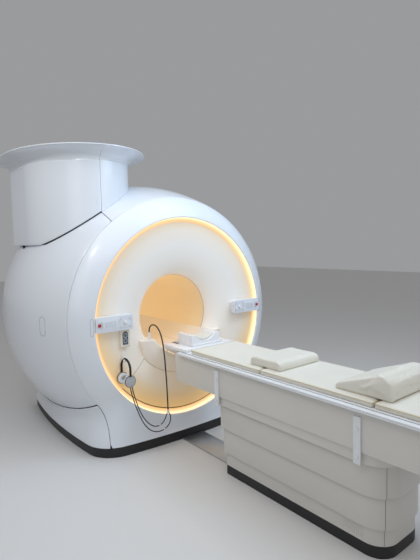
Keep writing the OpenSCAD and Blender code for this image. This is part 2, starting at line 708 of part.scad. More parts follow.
module turret_neck() color(steel) {
    difference() {
        translate([neck_x, neck_y, bore_z]) cylinder(h = neck_top - bore_z, r = neck_r, $fn = 64);
        translate([neck_x, neck_y, bore_z - 1])
            cylinder(h = neck_top - bore_z - 14, r = neck_r - 10, $fn = 64);
        at_bore() cylinder(h = magnet_length, r = vessel_r + fit, $fn = 96);
    }
    translate([neck_x, neck_y, neck_top - 20]) difference() {
        cylinder(h = 20, r = neck_r + 30, $fn = 64);
        translate([0, 0, -1]) cylinder(h = 12, r = neck_r - 10, $fn = 64);
        for (a = [0 : 45 : 315]) rotate([0, 0, a]) translate([neck_r + 15, 0, -1])
            cylinder(h = 22, r = 6, $fn = 24);
    }
}
head_x = neck_x + 40;
cold_y = neck_y + 360;
sock_r = 85;
motor_r = 55;
motor_h = 120;
valve_box = [120, 200, 90];
module cold_head() color([0.55, 0.57, 0.60]) {
    difference() {
        translate([head_x, cold_y, bore_z]) cylinder(h = neck_top - bore_z, r = sock_r, $fn = 48);
        at_bore() cylinder(h = magnet_length, r = vessel_r + fit, $fn = 96);
    }
    translate([head_x, cold_y, neck_top - 1]) cylinder(h = 26, r = sock_r + 25, $fn = 48);
    translate([head_x, cold_y, neck_top + 24]) cylinder(h = motor_h, r = motor_r, $fn = 48);
    translate([head_x - valve_box[0] / 2, cold_y - motor_r + 10, neck_top + motor_h / 2]) cube(valve_box);
}
module quench_pipe() color([0.80, 0.82, 0.84]) {
    difference() {
        union() {
            translate([neck_x, neck_y, neck_top + fit]) cylinder(h = 18, r = quench_r + 30, $fn = 64);
            translate([neck_x, neck_y, neck_top + fit])
                cylinder(h = ceiling_z - neck_top - fit, r = quench_r, $fn = 64);
            for (z = [neck_top + 120, neck_top + 260]) translate([neck_x, neck_y, z])
                cylinder(h = 16, r = quench_r + 16, $fn = 64);
        }
        translate([neck_x, neck_y, neck_top - 1])
            cylinder(h = ceiling_z - neck_top + 2, r = quench_r - 6, $fn = 64);
    }
}

// Control panels: rounded boards that bridge the light ring, with raised keys
panel_outer = ring_r - 2;
stop_x = panel_outer - 26;
jog_x = panel_inner + 66;
panel_back = 18;
// The light ring and the front cover's lip, with room round them
module behind_ring() {
    room = 1.6;
    revolve([[ring_r + 60, -lip_front - room], [ring_r - room, -lip_front - room],
        [ring_r - room, -room / 2], [ring_in - room, ring_depth - room],
        [ring_in - room, funnel_depth], [ring_r + 60, funnel_depth]]);
}
module panel_board() difference() {
    union() {
        slab(-panel_front, panel_back) rounded_rect(panel_inner, panel_z - panel_h / 2,
            panel_outer, panel_z + panel_h / 2, 16);
        slab(panel_back - 1, funnel_depth) rounded_rect(panel_inner + 12,
            panel_z - panel_h / 2 + 20, ring_in - 50, panel_z + panel_h / 2 - 20, 10);
        // Soft keys: an arc of pads by the stop, bars along the middle, four round the jog
        slab(-panel_front - 1.5, 0) {
            for (a = [-50, -15, 20, 55]) translate([stop_x - 20 * cos(a) - 8, panel_z + 26 * sin(a)])
                circle(4, $fn = 24);
            for (i = [0 : 3]) rounded_rect(stop_x - 62 - 24 * i, panel_z - 20, stop_x - 54 - 24 * i,
                panel_z + 20, 3);
            for (sx = [-1, 1], sz = [-1, 1])
                translate([jog_x + 38 * sx, panel_z + 30 * sz]) circle(7, $fn = 24);
        }
    }
    behind_funnel(-fit);
    behind_ring();
    // Wells for the stop's stem and the jog's spindle
    at_panel(stop_x) cylinder(h = 26, r = 6 + fit, $fn = 32);
    at_panel(jog_x) cylinder(h = 26, r = 5 + fit, $fn = 32);
}
// Puts +Z of a child along the bore, starting at the board's face
module at_panel(x) translate([x, front_y - panel_front - 0.01, panel_z]) rotate([-90, 0, 0]) children();
module control_panel_right() color(white) panel_board();
module control_panel_left() color(white) mirror([1, 0, 0]) panel_board();
module stop_button() at_panel(stop_x) {
    translate([0, 0, -14]) cylinder(h = 8, r1 = stop_r - 3, r2 = stop_r, $fn = 48);
    translate([0, 0, -8]) cylinder(h = 4, r = stop_r, $fn = 48);
    translate([0, 0, -5]) cylinder(h = 22, r = 6, $fn = 32);
}
module stop_right() color([0.75, 0.05, 0.05]) stop_button();
module stop_left() color([0.75, 0.05, 0.05]) mirror([1, 0, 0]) stop_button();
module jog_knob() at_panel(jog_x) {
    difference() {
        translate([0, 0, -16]) cylinder(h = 14, r1 = jog_r - 2, r2 = jog_r, $fn = 48);
        for (a = [0 : 45 : 315]) rotate([0, 0, a]) translate([jog_r + 1, 0, -18])
            cylinder(h = 20, r = 2.5, $fn = 24);
    }
    translate([0, 0, -3]) cylinder(h = 22, r = 5, $fn = 32);
}
module jog_right() color([0.95, 0.95, 0.95]) jog_knob();
module jog_left() color([0.95, 0.95, 0.95]) mirror([1, 0, 0]) jog_knob();

// Display under the left control panel
box_x = -583;
box_half = 39;
box_top = panel_z - panel_h / 2 - 8;
box_h = 138;
box_front = 16;
module display_outline(inset) {
    rounded_rect(box_x - box_half + inset, box_top - box_h + inset, box_x + box_half - inset,
        box_top - inset, 10);
}
module window_outline(gap) {
    w = 24 + gap;
    translate([box_x - w, box_top - box_h + 20 - gap]) square([2 * w, 82 + gap]);
    translate([box_x, box_top - box_h + 102]) circle(w, $fn = 48);
}
module display_box() color([0.95, 0.92, 0.84]) difference() {
    slab(box_front, funnel_depth) display_outline(0);
    behind_funnel(-fit);
    slab(box_front - 1, box_front + 5) window_outline(fit);
}
module display_window() color([0.35, 0.38, 0.42]) slab(box_front + 1, box_front + 5) window_outline(0);

// Headset on its hook: an arm beside the headband, a peg under it and a cone
set_x = -620;
set_y = front_y - 43;
band_r = 72;
band_half = 9;
band_z = 715;
peg_r = 9;
peg_z = band_z + band_r - 2.5 - fit - peg_r;
arm_x = set_x + band_half + 13;
module headset_hook() color([0.96, 0.96, 0.97]) difference() {
    union() {
        bar([arm_x, front_y + 60, peg_z], [arm_x, set_y, peg_z], 8);
        bar([arm_x + 4, set_y, peg_z], [set_x - band_half - 6, set_y, peg_z], peg_r);
        translate([set_x - band_half - 6, set_y, peg_z]) rotate([0, 90, 0])
            cylinder(h = 3, r = peg_r + 2, $fn = 32);
        translate([arm_x - 4, front_y + 24, peg_z - 5]) cylinder(h = 76, r1 = 14, r2 = 2, $fn = 40);
    }
    behind_funnel(-fit);
    // Clearance for the headband, which rests on the peg
    at_band(band_half + fit) rotate_extrude($fn = 64)
        translate([band_r - 2.5 - fit, 0]) square([5 + 2 * fit, 2 * band_half + 2 * fit]);
}
module at_band(half) {
    translate([set_x - half, set_y, band_z]) rotate([0, 90, 0]) rotate([0, 0, 90]) children();
}
module headset_band() color([0.04, 0.04, 0.045]) {
    at_band(band_half) rotate_extrude(angle = 180, $fn = 64)
        translate([band_r - 2.5, 0]) square([5, 2 * band_half]);
    for (s = [-1, 1]) translate([set_x - band_half, set_y + s * band_r - 2.5, band_z - 52])
        cube([2 * band_half, 5, 53]);
}
cup_z = 625;
module headset_cups() color([0.55, 0.57, 0.60]) for (s = [-1, 1]) {
    // Hard shell, then the soft ring that faces the ear
    translate([set_x, set_y + s * (band_r - 2.5 - fit), cup_z]) rotate([s * 90, 0, 0]) {
        cylinder(h = 18, r1 = 44, r2 = 40, $fn = 48);
        translate([0, 0, 17]) difference() {
            cylinder(h = 16, r = 38, $fn = 48);
            translate([0, 0, 4]) cylinder(h = 13, r = 22, $fn = 48);
        }
    }
    if (s < 0) for (dx = [-8, 8]) translate([set_x + 12 + dx, set_y - band_r + 14, cup_z - 53])
        cylinder(h = 14, r = 6, $fn = 32);
}

// Hoses, swept along routes of round numbers
hose_path = [[-335, -780, 944], [-335, -781, 962], [-334, -790, 985], [-332, -812, 1004],
    [-330, -845, 1012], [-328, -880, 1006], [-326, -912, 985], [-324, -938, 950],
    [-323, -958, 905], [-322, -972, 850], [-322, -982, 790], [-321, -990, 720],
    [-321, -996, 650], [-320, -1001, 580], [-320, -1005, 510], [-320, -1008, 445],
    [-320, -1010, 385], [-320, -1010, 346]];
inner_path = [[-331, -1010, 312], [-337, -1010, 300], [-345, -1008, 280], [-358, -1004, 256],
    [-378, -999, 236], [-403, -993, 226], [-432, -987, 228], [-462, -980, 245],
    [-490, -974, 272], [-514, -969, 306], [-535, -965, 346], [-553, -961, 391],
    [-569, -957, 440], [-583, -954, 488], [-594, -952, 530], [-599, -951, 557], [-600, -951, 572]];
outer_path = [[-309, -1010, 312], [-303, -1010, 300], [-298, -1010, 282], [-298, -1010, 260],
    [-304, -1009, 236], [-317, -1006, 214], [-338, -1002, 195], [-367, -997, 182], [-398, -991, 178],
    [-432, -984, 184], [-466, -977, 203], [-496, -971, 234], [-522, -966, 275],
    [-545, -962, 324], [-565, -958, 378], [-583, -955, 432], [-598, -953, 484],
    [-610, -952, 530], [-615, -951, 557], [-616, -951, 572]];
function heading(p, i) = unit(p[min(i + 1, len(p) - 1)] - p[max(i - 1, 0)]);
module hose(path, r, side, sides = 8) color([0.04, 0.04, 0.045]) {
    skin([for (i = [0 : len(path) - 1]) let (t = heading(path, i), u = unit(cross(t, side)),
            v = cross(t, u)) [for (k = [0 : sides - 1])
        path[i] + r * cos(360 * k / sides) * u + r * sin(360 * k / sides) * v]]);
}
main_r = 5.5;
thin_r = 4;
module hose_main() hose(hose_path, main_r, [1, 0, 0]);
module hose_inner() hose(inner_path, thin_r, [0, 1, 0]);
module hose_outer() hose(outer_path, thin_r, [0, 1, 0]);
fork = [-320, -1010, 332];
module fork_arm(path) {
    end = path[0] - fork;
    bar(fork, fork + end * (1 - 0.6 / norm(end)), 6);
}
module hose_fittings() color([0.90, 0.90, 0.92]) {
    // Y-piece where the hose splits in two
    translate(fork - [0, 0, 6]) cylinder(h = 19.6, r = 9, $fn = 32);
    fork_arm(inner_path);
    fork_arm(outer_path);
    // Clip that spaces the two thin hoses
    difference() {
        union() {
            sleeve(inner_path, 4, 6, thin_r + 3);
            sleeve(outer_path, 6, 6, thin_r + 3);
            bar(middle(inner_path, 4), middle(outer_path, 6), 2.5);
        }
        sleeve(inner_path, 4, 12, thin_r + fit);
        sleeve(outer_path, 6, 12, thin_r + fit);
    }
}
function middle(path, i) = (path[i] + path[i + 1]) / 2;
// A straight sleeve round the middle of one stretch of a hose
module sleeve(path, i, half, r) {
    v = unit(path[i + 1] - path[i]);
    bar(middle(path, i) - half * v, middle(path, i) + half * v, r);
}
module hose_plug() color([0.94, 0.94, 0.95]) translate([-335, -780, ledge_z + fit]) {
    cylinder(h = 10, r = 17, $fn = 40);
    cylinder(h = 944 - ledge_z - fit, r1 = 13, r2 = 8, $fn = 40);
}

// Duct plate on the floor between magnet and table
module floor_duct() color([0.45, 0.46, 0.48]) {
    y0 = column_y + fit;
    y1 = front_y - skirt_front + 2 - fit;
    translate([-110, y0, 0]) cube([220, y1 - y0, 12]);
}

// Table column: a fixed panel on a plinth, and panels that telescope over it
column_foot = column_y - column_length;
function column_line(grow) = let (h = column_half + grow, c = foot_corner + grow,
        y0 = column_y + grow, y1 = column_foot - grow, e = 12)
    concat([[-h, y0 - e], [-h + e, y0], [h - e, y0], [h, y0 - e]],
        arc([h - c, y1 + c], c, 0, -90, 12), arc([c - h, y1 + c], c, -90, -180, 12));
module column_wall(grow, z0, z1, wall) {
    translate([0, 0, z0]) linear_extrude(z1 - z0) difference() {
        polygon(column_line(grow));
        polygon(column_line(grow - wall));
    }
}
plinth_wall = 14;
module table_plinth() color([0.05, 0.05, 0.055]) column_wall(0, 0, plinth_h, plinth_wall);
vent_pitch = 12;
module table_panel_base() color([0.80, 0.80, 0.80]) difference() {
    column_wall(0, plinth_h, 240, panel_wall);
    // Perforated vent near the foot end
    for (i = [0 : 10], j = [0 : 4])
        translate([-column_half - 1, column_foot + 130 + vent_pitch * i, plinth_h + 24 + vent_pitch * j])
            rotate([0, 90, 0]) cylinder(h = panel_wall + 2, r = 2.5, $fn = 16);
}
// Glide pads inside a panel, which run on the panel that it slides over
module glide_pads(grow, wall, z0, z1) {
    for (side = [0, 1], y = [ram_y - 420, ram_y + 420]) mirror([side, 0, 0])
        translate([column_half + grow - panel_step + fit, y - 30, z0])
            cube([panel_step - wall - fit + 0.5, 60, z1 - z0]);
}
module table_panel_low() color([0.82, 0.82, 0.82]) {
    column_wall(panel_step, low_panel_z, 400, panel_wall);
    glide_pads(panel_step, panel_wall, low_panel_z + 12, low_panel_z + 66);
}
mid_panel_top = 560;
module table_panel_mid() color([0.82, 0.82, 0.82]) {
    column_wall(2 * panel_step, mid_panel_z, mid_panel_top, panel_wall);
    glide_pads(2 * panel_step, panel_wall, mid_panel_z + 8, mid_panel_z + 48);
}

// Lift: a fixed guide, a middle stage and a ram that carries the beam
ram_y = column_y - column_length / 2;
module box_tube(half, wall, z0, z1) translate([0, 0, z0]) linear_extrude(z1 - z0) difference() {
    square(2 * half, center = true);
    square(2 * (half - wall), center = true);
}
lift_half = 80;
lift_wall = 8;
lift_pitch = 300;
stage_half = lift_half - lift_wall - fit;
ram_half = stage_half - 6 - fit;
module lift_base() color([0.40, 0.42, 0.45]) {
    half = column_half - plinth_wall - fit;
    translate([-half, ram_y - 420, 0]) cube([2 * half, 840, 12]);
    for (s = [-1, 1]) translate([0, ram_y + s * lift_pitch, 0])
        box_tube(lift_half, lift_wall, 11, 290);
    // Motor and gearbox of the spindle
    translate([-60, ram_y - 90, 11]) cube([120, 180, 150]);
    translate([0, ram_y, 160]) cylinder(h = 90, r = 45, $fn = 48);
}

// The middle stage carries the middle panel by arms at its top
module lift_stage() color([0.55, 0.57, 0.60]) for (s = [-1, 1])
    translate([0, ram_y + s * lift_pitch, 0]) {
        box_tube(stage_half, 6, 262, mid_panel_top);
        arm = column_half + 2 * panel_step - panel_wall;
        for (side = [0, 1]) mirror([side, 0, 0])
            translate([stage_half - 1, -40, mid_panel_top - 6]) cube([arm - stage_half + 1, 80, 6]);
    }

// Carrier: a hollow beam with a tapered nose, an apron over the column and a
// round trough for the tabletop's hull
apron_step = 3 * panel_step + 4;
function carrier_line(inset) = let (h = carrier_half - inset, c = 120 - inset,
        y0 = nose_y - inset, y1 = foot_y + inset)
    concat(arc([c - h, y0 - c], c, 180, 90, 12), arc([h - c, y0 - c], c, 90, 0, 12),
        arc([h - c, y1 + c], c, 0, -90, 12), arc([c - h, y1 + c], c, -90, -180, 12));
module carrier_side(inset) {
    base = column_y + apron_step;
    tail = column_foot - apron_step;
    polygon([[nose_y - inset, carrier_top], [nose_y - 50 - inset, beam_z + 18],
        [nose_y - 72 - inset, beam_z + inset], [base + 80, beam_z + inset],
        [base + 34, beam_z - 12 + inset], [base + 4, beam_z - 40 + inset],
        [base - inset, beam_z - 60 + inset], [base - inset, apron_z - 10 + inset],
        [tail + inset, apron_z - 10 + inset], [tail + inset, beam_z - 50 + inset],
        [tail - 14, beam_z - 20 + inset], [tail - 44, beam_z + inset],
        [foot_y + 60 + inset, beam_z + inset], [foot_y + 20 + inset, beam_z + 20 + inset],
        [foot_y + inset, beam_z + 60], [foot_y + inset, carrier_top]]);
}
carrier_wall = 8;
module trough(r) {
    at_bore() translate([0, 0, -foot_front - 50]) cylinder(h = foot_front + 200, r = r, $fn = 128);
}
module carrier_outer() {
    // Beam
    intersection() {
        translate([0, 0, beam_z - 1]) linear_extrude(carrier_top - beam_z + 1)
            polygon(carrier_line(0));
        across(-carrier_half, carrier_half) carrier_side(0);
    }
    // Apron over the column
    translate([0, 0, apron_z]) linear_extrude(beam_z + 60 - apron_z) polygon(column_line(apron_step));
}
module carrier_inner() {
    difference() {
        union() {
            intersection() {
                translate([0, 0, beam_z]) linear_extrude(carrier_top - beam_z)
                    polygon(carrier_line(carrier_wall));
                across(-carrier_half, carrier_half) carrier_side(carrier_wall);
            }
            translate([0, 0, apron_z - 1]) linear_extrude(beam_z + 61 - apron_z)
                polygon(column_line(apron_step - carrier_wall));
        }
        trough(trough_r + carrier_wall);
        translate([-carrier_half, foot_y, carrier_top - 8]) cube([2 * carrier_half, foot_front, 20]);
    }
}
module carrier_shell() color([0.84, 0.84, 0.83]) {
    difference() {
        carrier_outer();
        carrier_inner();
        trough(trough_r);
    }
    slab(-foot_front + 30, -nose_front - 50) strip_section(hull_r + fit, trough_r + 1);
    apron_pads();
}
module apron_pads() {
    inner = column_half + apron_step - carrier_wall;
    for (side = [0, 1], y = [ram_y - 420, ram_y + 420]) mirror([side, 0, 0])
        translate([column_half + 2 * panel_step + fit, y - 30, apron_z + 5])
            cube([inner - column_half - 2 * panel_step - fit + 0.5, 60, 28]);
}
rail_in = sqrt(pow(trough_r, 2) - pow(bore_z - rail_top, 2)) + 1;
rail_front = nose_y - 150;
rail_back = foot_y + 60;
module side_rails() color([0.90, 0.91, 0.93]) for (side = [0, 1]) mirror([side, 0, 0])
    slab(-foot_front + 60, -nose_front - 150) polygon([[carrier_half - 12, carrier_top],
        [rail_half - 8, carrier_top], [rail_half - 8, carrier_top + 4],
        [rail_half, carrier_top + 6], [rail_half, carrier_top + 10], [rail_half - 4, carrier_top + 12],
        [rail_half, rail_top - 6], [rail_half - 2, rail_top], [rail_in, rail_top],
        [rail_in - 3, carrier_top + 6]]);
module rail_brackets() color([0.88, 0.89, 0.91]) {
    for (side = [-1, 1], y = [column_y + 7, column_foot + 120]) {
        x = side * carrier_half;
        translate([min(x, x + side * 12), y - 21, apron_z]) cube([12, 42, 252]);
        for (z = [apron_z + 40, apron_z + 190]) translate([x + side * 11, y, z])
            rotate([0, side * 90, 0]) cylinder(h = 4, r = 11, $fn = 32);
    }
}
// The ram carries the beam under its trough
module lift_ram() color([0.70, 0.71, 0.73]) difference() {
    for (s = [-1, 1]) translate([0, ram_y + s * lift_pitch, 0])
        box_tube(ram_half, 8, 480, bore_z - trough_r + 20);
    trough(trough_r + carrier_wall + fit);
}

// Tabletop: a board with a round hull, closed at both ends
hull_half = sqrt(pow(hull_r, 2) - pow(bore_z - tabletop_z, 2));
module hull_section(r, top) intersection() {
    translate([0, bore_z]) circle(r, $fn = 128);
    translate([-hull_r, bore_z - 2 * hull_r]) square([2 * hull_r, 2 * hull_r - (bore_z - top)]);
}
module tabletop() color([0.95, 0.95, 0.96]) {
    w = hull_half;
    c = 60;
    difference() {
        intersection() {
            slab(-foot_front + 10, bridge_depth - dock_gap) hull_section(hull_r, tabletop_z);
            translate([0, 0, bore_z - hull_r - 1]) linear_extrude(hull_r) polygon(concat(
                arc([c - w, head_y - c], c, 180, 90, 8), arc([w - c, head_y - c], c, 90, 0, 8),
                [[w, foot_y], [-w, foot_y]]));
        }
        slab(-foot_front, bridge_depth - dock_gap - 80) hull_section(hull_r - 9, tabletop_z - 12);
    }
    // Raised head tray
    translate([0, 0, tabletop_z - 1]) linear_extrude(tray_h + 1) polygon(concat(
        arc([c - w, head_y - c], c, 180, 90, 8), arc([w - c, head_y - c], c, 90, 0, 8),
        [[w, head_y - tray_length], [-w, head_y - tray_length]]));
    // Foot cap
    slab(-foot_front + 11, -foot_front + 19) hull_section(hull_r - 8.5, tabletop_z - 11.5);
}
pad_start = head_y - tray_length - 40;
pad_joins = [pad_start, pad_start - 750, pad_start - 1560, foot_y + 40];
module pad(y0, y1) translate([0, y0, tabletop_z + fit]) {
    r = 8;
    rotate([90, 0, 0]) linear_extrude(y0 - y1) rounded_rect(-pad_half, 0, pad_half, pad_h, r);
}
module mattress() color([0.93, 0.90, 0.80]) {
    for (i = [0 : 2]) pad(pad_joins[i] - (i > 0 ? 0.6 : 0), pad_joins[i + 1]);
}
pad_top = tabletop_z + fit + pad_h;
cushion_half = 200;
knee_y = pad_start - 620;
knee_length = 280;
knee_r = 30;
calf_y = pad_start - 1290;
calf_length = 358;
calf_h = 130;
module leg_cushions() color([0.92, 0.88, 0.77]) {
    // Flat cushion under the thighs, and a wedge under the calves
    translate([0, 0, pad_top + fit]) across(-cushion_half, cushion_half) {
        polygon(concat([[knee_y - knee_length, 0], [knee_y, 0]],
            arc([knee_y - knee_r, knee_r], knee_r, 0, 90, 6),
            arc([knee_y - knee_length + knee_r, knee_r], knee_r, 90, 180, 6)));
        translate([calf_y, 0]) polygon([[8 - calf_length, 0], [-10, 0], [0, 14], [-20, 34],
            [-270, calf_h - 2], [-300, calf_h], [-335, calf_h - 30], [-calf_length, 20]]);
    }
}
tray_z = tabletop_z + tray_h;
module head_support() color([0.94, 0.94, 0.95]) {
    y0 = head_y - 60;
    // Base of the head coil with raised sides
    translate([-150, y0 - 250, tray_z]) cube([300, 250, 16]);
    difference() {
        translate([-140, y0 - 230, tray_z + 15]) cube([280, 200, 70]);
        translate([0, y0 + 10, tray_z + 165]) rotate([90, 0, 0]) cylinder(h = 300, r = 130, $fn = 64);
    }
    for (x = [-120, 120]) translate([x - 8, y0 - 40, tray_z + 84]) cube([16, 14, 8]);
}
module head_pad() color([0.93, 0.90, 0.80]) difference() {
    y0 = head_y - 60;
    translate([0, y0 - 50, tray_z + 165]) rotate([90, 0, 0])
        cylinder(h = 160, r = 130 - fit, $fn = 64);
    translate([0, y0 - 40, tray_z + 175]) rotate([90, 0, 0]) cylinder(h = 180, r = 122, $fn = 64);
    translate([-200, y0 - 300, tray_z + 78]) cube([400, 400, 400]);
}

base_frame();
vacuum_vessel();
helium_vessel();
coil_former();
main_coils();
gradient_coil();
body_coil();
turret_neck();
cold_head();
quench_pipe();
front_bezel();
top_cover();
side_cover_left();
side_cover_right();
rear_cover();
apron(-1);  // apron_left
apron(1);  // apron_right
base_skirt();
turret_shell();
turret_front();
ceiling_collar();
light_ring();
front_funnel();
service_panel();
bridge();
bore_liner();
bore_tube();
rear_funnel();
control_panel_left();
control_panel_right();
display_box();
display_window();
headset_hook();
headset_band();
headset_cups();
hose_main();
hose_inner();
hose_outer();
hose_fittings();
hose_plug();
floor_duct();
table_plinth();
table_panel_base();
lift_base();
lift_stage();
stop_left();
stop_right();
jog_left();
jog_right();
table_panel_low();
table_panel_mid();
carrier_shell();
side_rails();
rail_brackets();
lift_ram();
tabletop();
mattress();
leg_cushions();
head_support();
head_pad();
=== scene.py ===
"""Looks for the whole-body scanner: glossy covers, lit ring, painted warm glow on the funnel and bore, and a
cushioned table.
"""
import json
import math

import bpy
from mathutils import Matrix, Vector


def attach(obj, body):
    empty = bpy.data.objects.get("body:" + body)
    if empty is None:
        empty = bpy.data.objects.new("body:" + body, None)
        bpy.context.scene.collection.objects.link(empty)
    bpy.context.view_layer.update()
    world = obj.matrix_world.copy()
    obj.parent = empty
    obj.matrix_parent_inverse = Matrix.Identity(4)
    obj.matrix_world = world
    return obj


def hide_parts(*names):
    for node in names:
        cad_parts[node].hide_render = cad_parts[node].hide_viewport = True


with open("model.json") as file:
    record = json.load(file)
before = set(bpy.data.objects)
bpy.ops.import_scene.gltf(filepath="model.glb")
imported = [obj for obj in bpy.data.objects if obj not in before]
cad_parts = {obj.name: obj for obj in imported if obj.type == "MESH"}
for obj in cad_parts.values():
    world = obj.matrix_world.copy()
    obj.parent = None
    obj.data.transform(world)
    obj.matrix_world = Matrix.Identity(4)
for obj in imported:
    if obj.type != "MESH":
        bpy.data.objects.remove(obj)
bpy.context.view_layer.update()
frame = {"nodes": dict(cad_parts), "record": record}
nodes = frame["nodes"]

# Sizes shared with the model, in metres
FRONT = -0.85
AXIS = 1.05
BORE = 0.35
RING_R, RING_IN, RING_DEPTH = 0.843, 0.806, 0.035


def set_camera():
    """A camera left of the table, a little above it, that looks to the right into the bore."""
    yaw, pitch, roll = 0.6696, 0.0806, -0.0217
    ahead = Vector((math.sin(yaw) * math.cos(pitch), math.cos(yaw) * math.cos(pitch), -math.sin(pitch)))
    right = Vector((math.cos(yaw), -math.sin(yaw), 0))
    up = right.cross(ahead)
    across = math.cos(roll) * right + math.sin(roll) * up
    above = math.cos(roll) * up - math.sin(roll) * right
    data = bpy.data.cameras.new("photo_view")
    data.lens, data.sensor_width = 29.06, 36
    data.clip_start, data.clip_end = 0.05, 60
    camera = bpy.data.objects.new("photo_view", data)
    bpy.context.scene.collection.objects.link(camera)
    turn = Matrix((across, above, -ahead)).transposed().to_4x4()
    camera.matrix_world = Matrix.Translation((-2.2355, -4.0109, 1.667)) @ turn
    bpy.context.scene.camera = camera


set_camera()


# ---- Finishes ----
class Wire:
    """A shader value; arithmetic on it adds Math nodes."""

    def __init__(self, finish, socket):
        self.finish, self.socket = finish, socket

    def combine(self, operation, other):
        return self.finish.add("ShaderNodeMath", {"operation": operation}, [self, other])

    def __add__(self, other):
        return self.combine("ADD", other)

    def __sub__(self, other):
        return self.combine("SUBTRACT", other)

    def __mul__(self, other):
        return self.combine("MULTIPLY", other)


class Finish:
    """A node material round one Principled shader."""

    def __init__(self, name, color, rough, **fixed):
        self.material = bpy.data.materials.new(name)
        self.material.use_nodes = True
        self.tree = self.material.node_tree
        self.shader = self.tree.nodes["Principled BSDF"]
        self.shader.inputs["Base Color"].default_value = (*color, 1)
        self.shader.inputs["Roughness"].default_value = rough
        for key, value in fixed.items():
            self.shader.inputs[key.replace("_", " ")].default_value = value
        self.here = self.add("ShaderNodeTexCoord", {}, (), "Object")

    def add(self, kind, settings, values, out=0):
        """Adds a node with its settings and its inputs, and gives one of its outputs."""
        made = self.tree.nodes.new(kind)
        for key, value in settings.items():
            setattr(made, key, value)
        pairs = values.items() if isinstance(values, dict) else enumerate(values)
        for key, value in pairs:
            self.feed(made.inputs[key], value)
        return Wire(self, made.outputs[out])

    def feed(self, socket, value):
        if isinstance(value, Wire):
            self.tree.links.new(value.socket, socket)
        else:
            socket.default_value = value

    def put(self, **links):
        for key, value in links.items():
            self.feed(self.shader.inputs[key.replace("_", " ")], value)

    def vector(self, operation, *values, out=0):
        return self.add("ShaderNodeVectorMath", {"operation": operation}, values, out)

    def from_axis(self):
        """Distance from the bore's axis."""
        arm = self.vector("SUBTRACT", self.here, (0, 0, AXIS))
        return self.vector("LENGTH", self.vector("MULTIPLY", arm, (1, 0, 1)), out=1)

    def along(self, letter):
        """One coordinate of the place: X, Y or Z."""
        return self.add("ShaderNodeSeparateXYZ", {}, [self.here], letter)

    def noise(self, scale, detail=2.0, spot=None):
        values = {"Vector": spot or self.here, "Scale": scale, "Detail": detail}
        return self.add("ShaderNodeTexNoise", {}, values)

    def spread(self, value, start, end, low, high):
        """A value's stretch from start to end, spread over low to high."""
        return self.add("ShaderNodeMapRange", {}, [value, start, end, low, high])

    def blend(self, amount, first, second):
        return self.add("ShaderNodeMix", {"data_type": "RGBA"}, {0: amount, 6: first, 7: second}, out=2)

    def ramp(self, value, *stops):
        made = self.tree.nodes.new("ShaderNodeValToRGB")
        steps = made.color_ramp.elements
        while len(steps) < len(stops):
            steps.new(0.5)
        for step, (place, color) in zip(steps, stops):
            step.position, step.color = place, (*color, 1)
        self.feed(made.inputs[0], value)
        return Wire(self, made.outputs[0])

    def drift(self, scale, color, loss):
        """A colour that darkens a little in soft patches."""
        dark = [c * (1 - loss) for c in color]
        self.put(Base_Color=self.blend(self.noise(scale), (*color, 1), (*dark, 1)))

    def bump(self, height, strength, depth):
        return self.add("ShaderNodeBump", {}, {"Height": height, "Strength": strength, "Distance": depth})


def gloss(name, color, rough, coat=0.5):
    """Moulded plastic: even colour with a faint drift, fine waviness and a clear coat."""
    made = Finish(name, color, rough, Coat_Weight=coat, Coat_Roughness=0.06)
    made.drift(1.7, color, 0.02)
    made.put(Roughness=made.noise(9.0) * 0.08 + (rough - 0.04),
             Normal=made.bump(made.noise(55.0), 0.04, 0.002))
    return made


def satin(name, color, rough):
    """Powder coat or soft plastic with a fine orange-peel grain."""
    made = Finish(name, color, rough)
    made.drift(3.1, color, 0.04)
    made.put(Roughness=made.noise(14.0) * 0.10 + (rough - 0.05),
             Normal=made.bump(made.noise(900.0, 1.0), 0.12, 0.0006))
    return made


def brushed(name, color, rough):
    """Metal with fine brush lines along one way."""
    made = Finish(name, color, rough, Metallic=1.0)
    stretched = made.add("ShaderNodeMapping", {}, {"Vector": made.here, "Scale": (6, 6, 240)})
    lines = made.noise(9.0, 4.0, stretched)
    made.put(Roughness=lines * 0.18 + (rough - 0.08), Normal=made.bump(lines, 0.1, 0.001))
    return made


def vinyl(name, color):
    """Coated cushion fabric with a fine leather-like emboss."""
    made = Finish(name, color, 0.48, Sheen_Weight=0.15)
    pores = made.add("ShaderNodeTexVoronoi", {"feature": "DISTANCE_TO_EDGE"},
                     {"Vector": made.here, "Scale": 420.0})
    made.drift(5.0, color, 0.07)
    made.put(Roughness=made.noise(22.0) * 0.12 + 0.42, Normal=made.bump(pores, 0.25, 0.0008))
    return made


def ring_light():
    """Diffuser: bright on its wall, dimmer and more orange on its narrow floor."""
    made = Finish("diffuser", (0.5, 0.42, 0.3), 0.4, Emission_Strength=0.9)
    ripple = made.noise(3.0) * 0.002 - 0.001
    share = (made.from_axis() + ripple - RING_IN) * (1 / (RING_R - RING_IN))
    made.put(Emission_Color=made.ramp(
        share, (0.0, (0.62, 0.30, 0.08)), (0.45, (0.90, 0.52, 0.20)), (0.74, (1.0, 0.66, 0.30)),
        (0.84, (1.0, 0.84, 0.52)), (1.0, (1.0, 0.88, 0.60))))
    return made


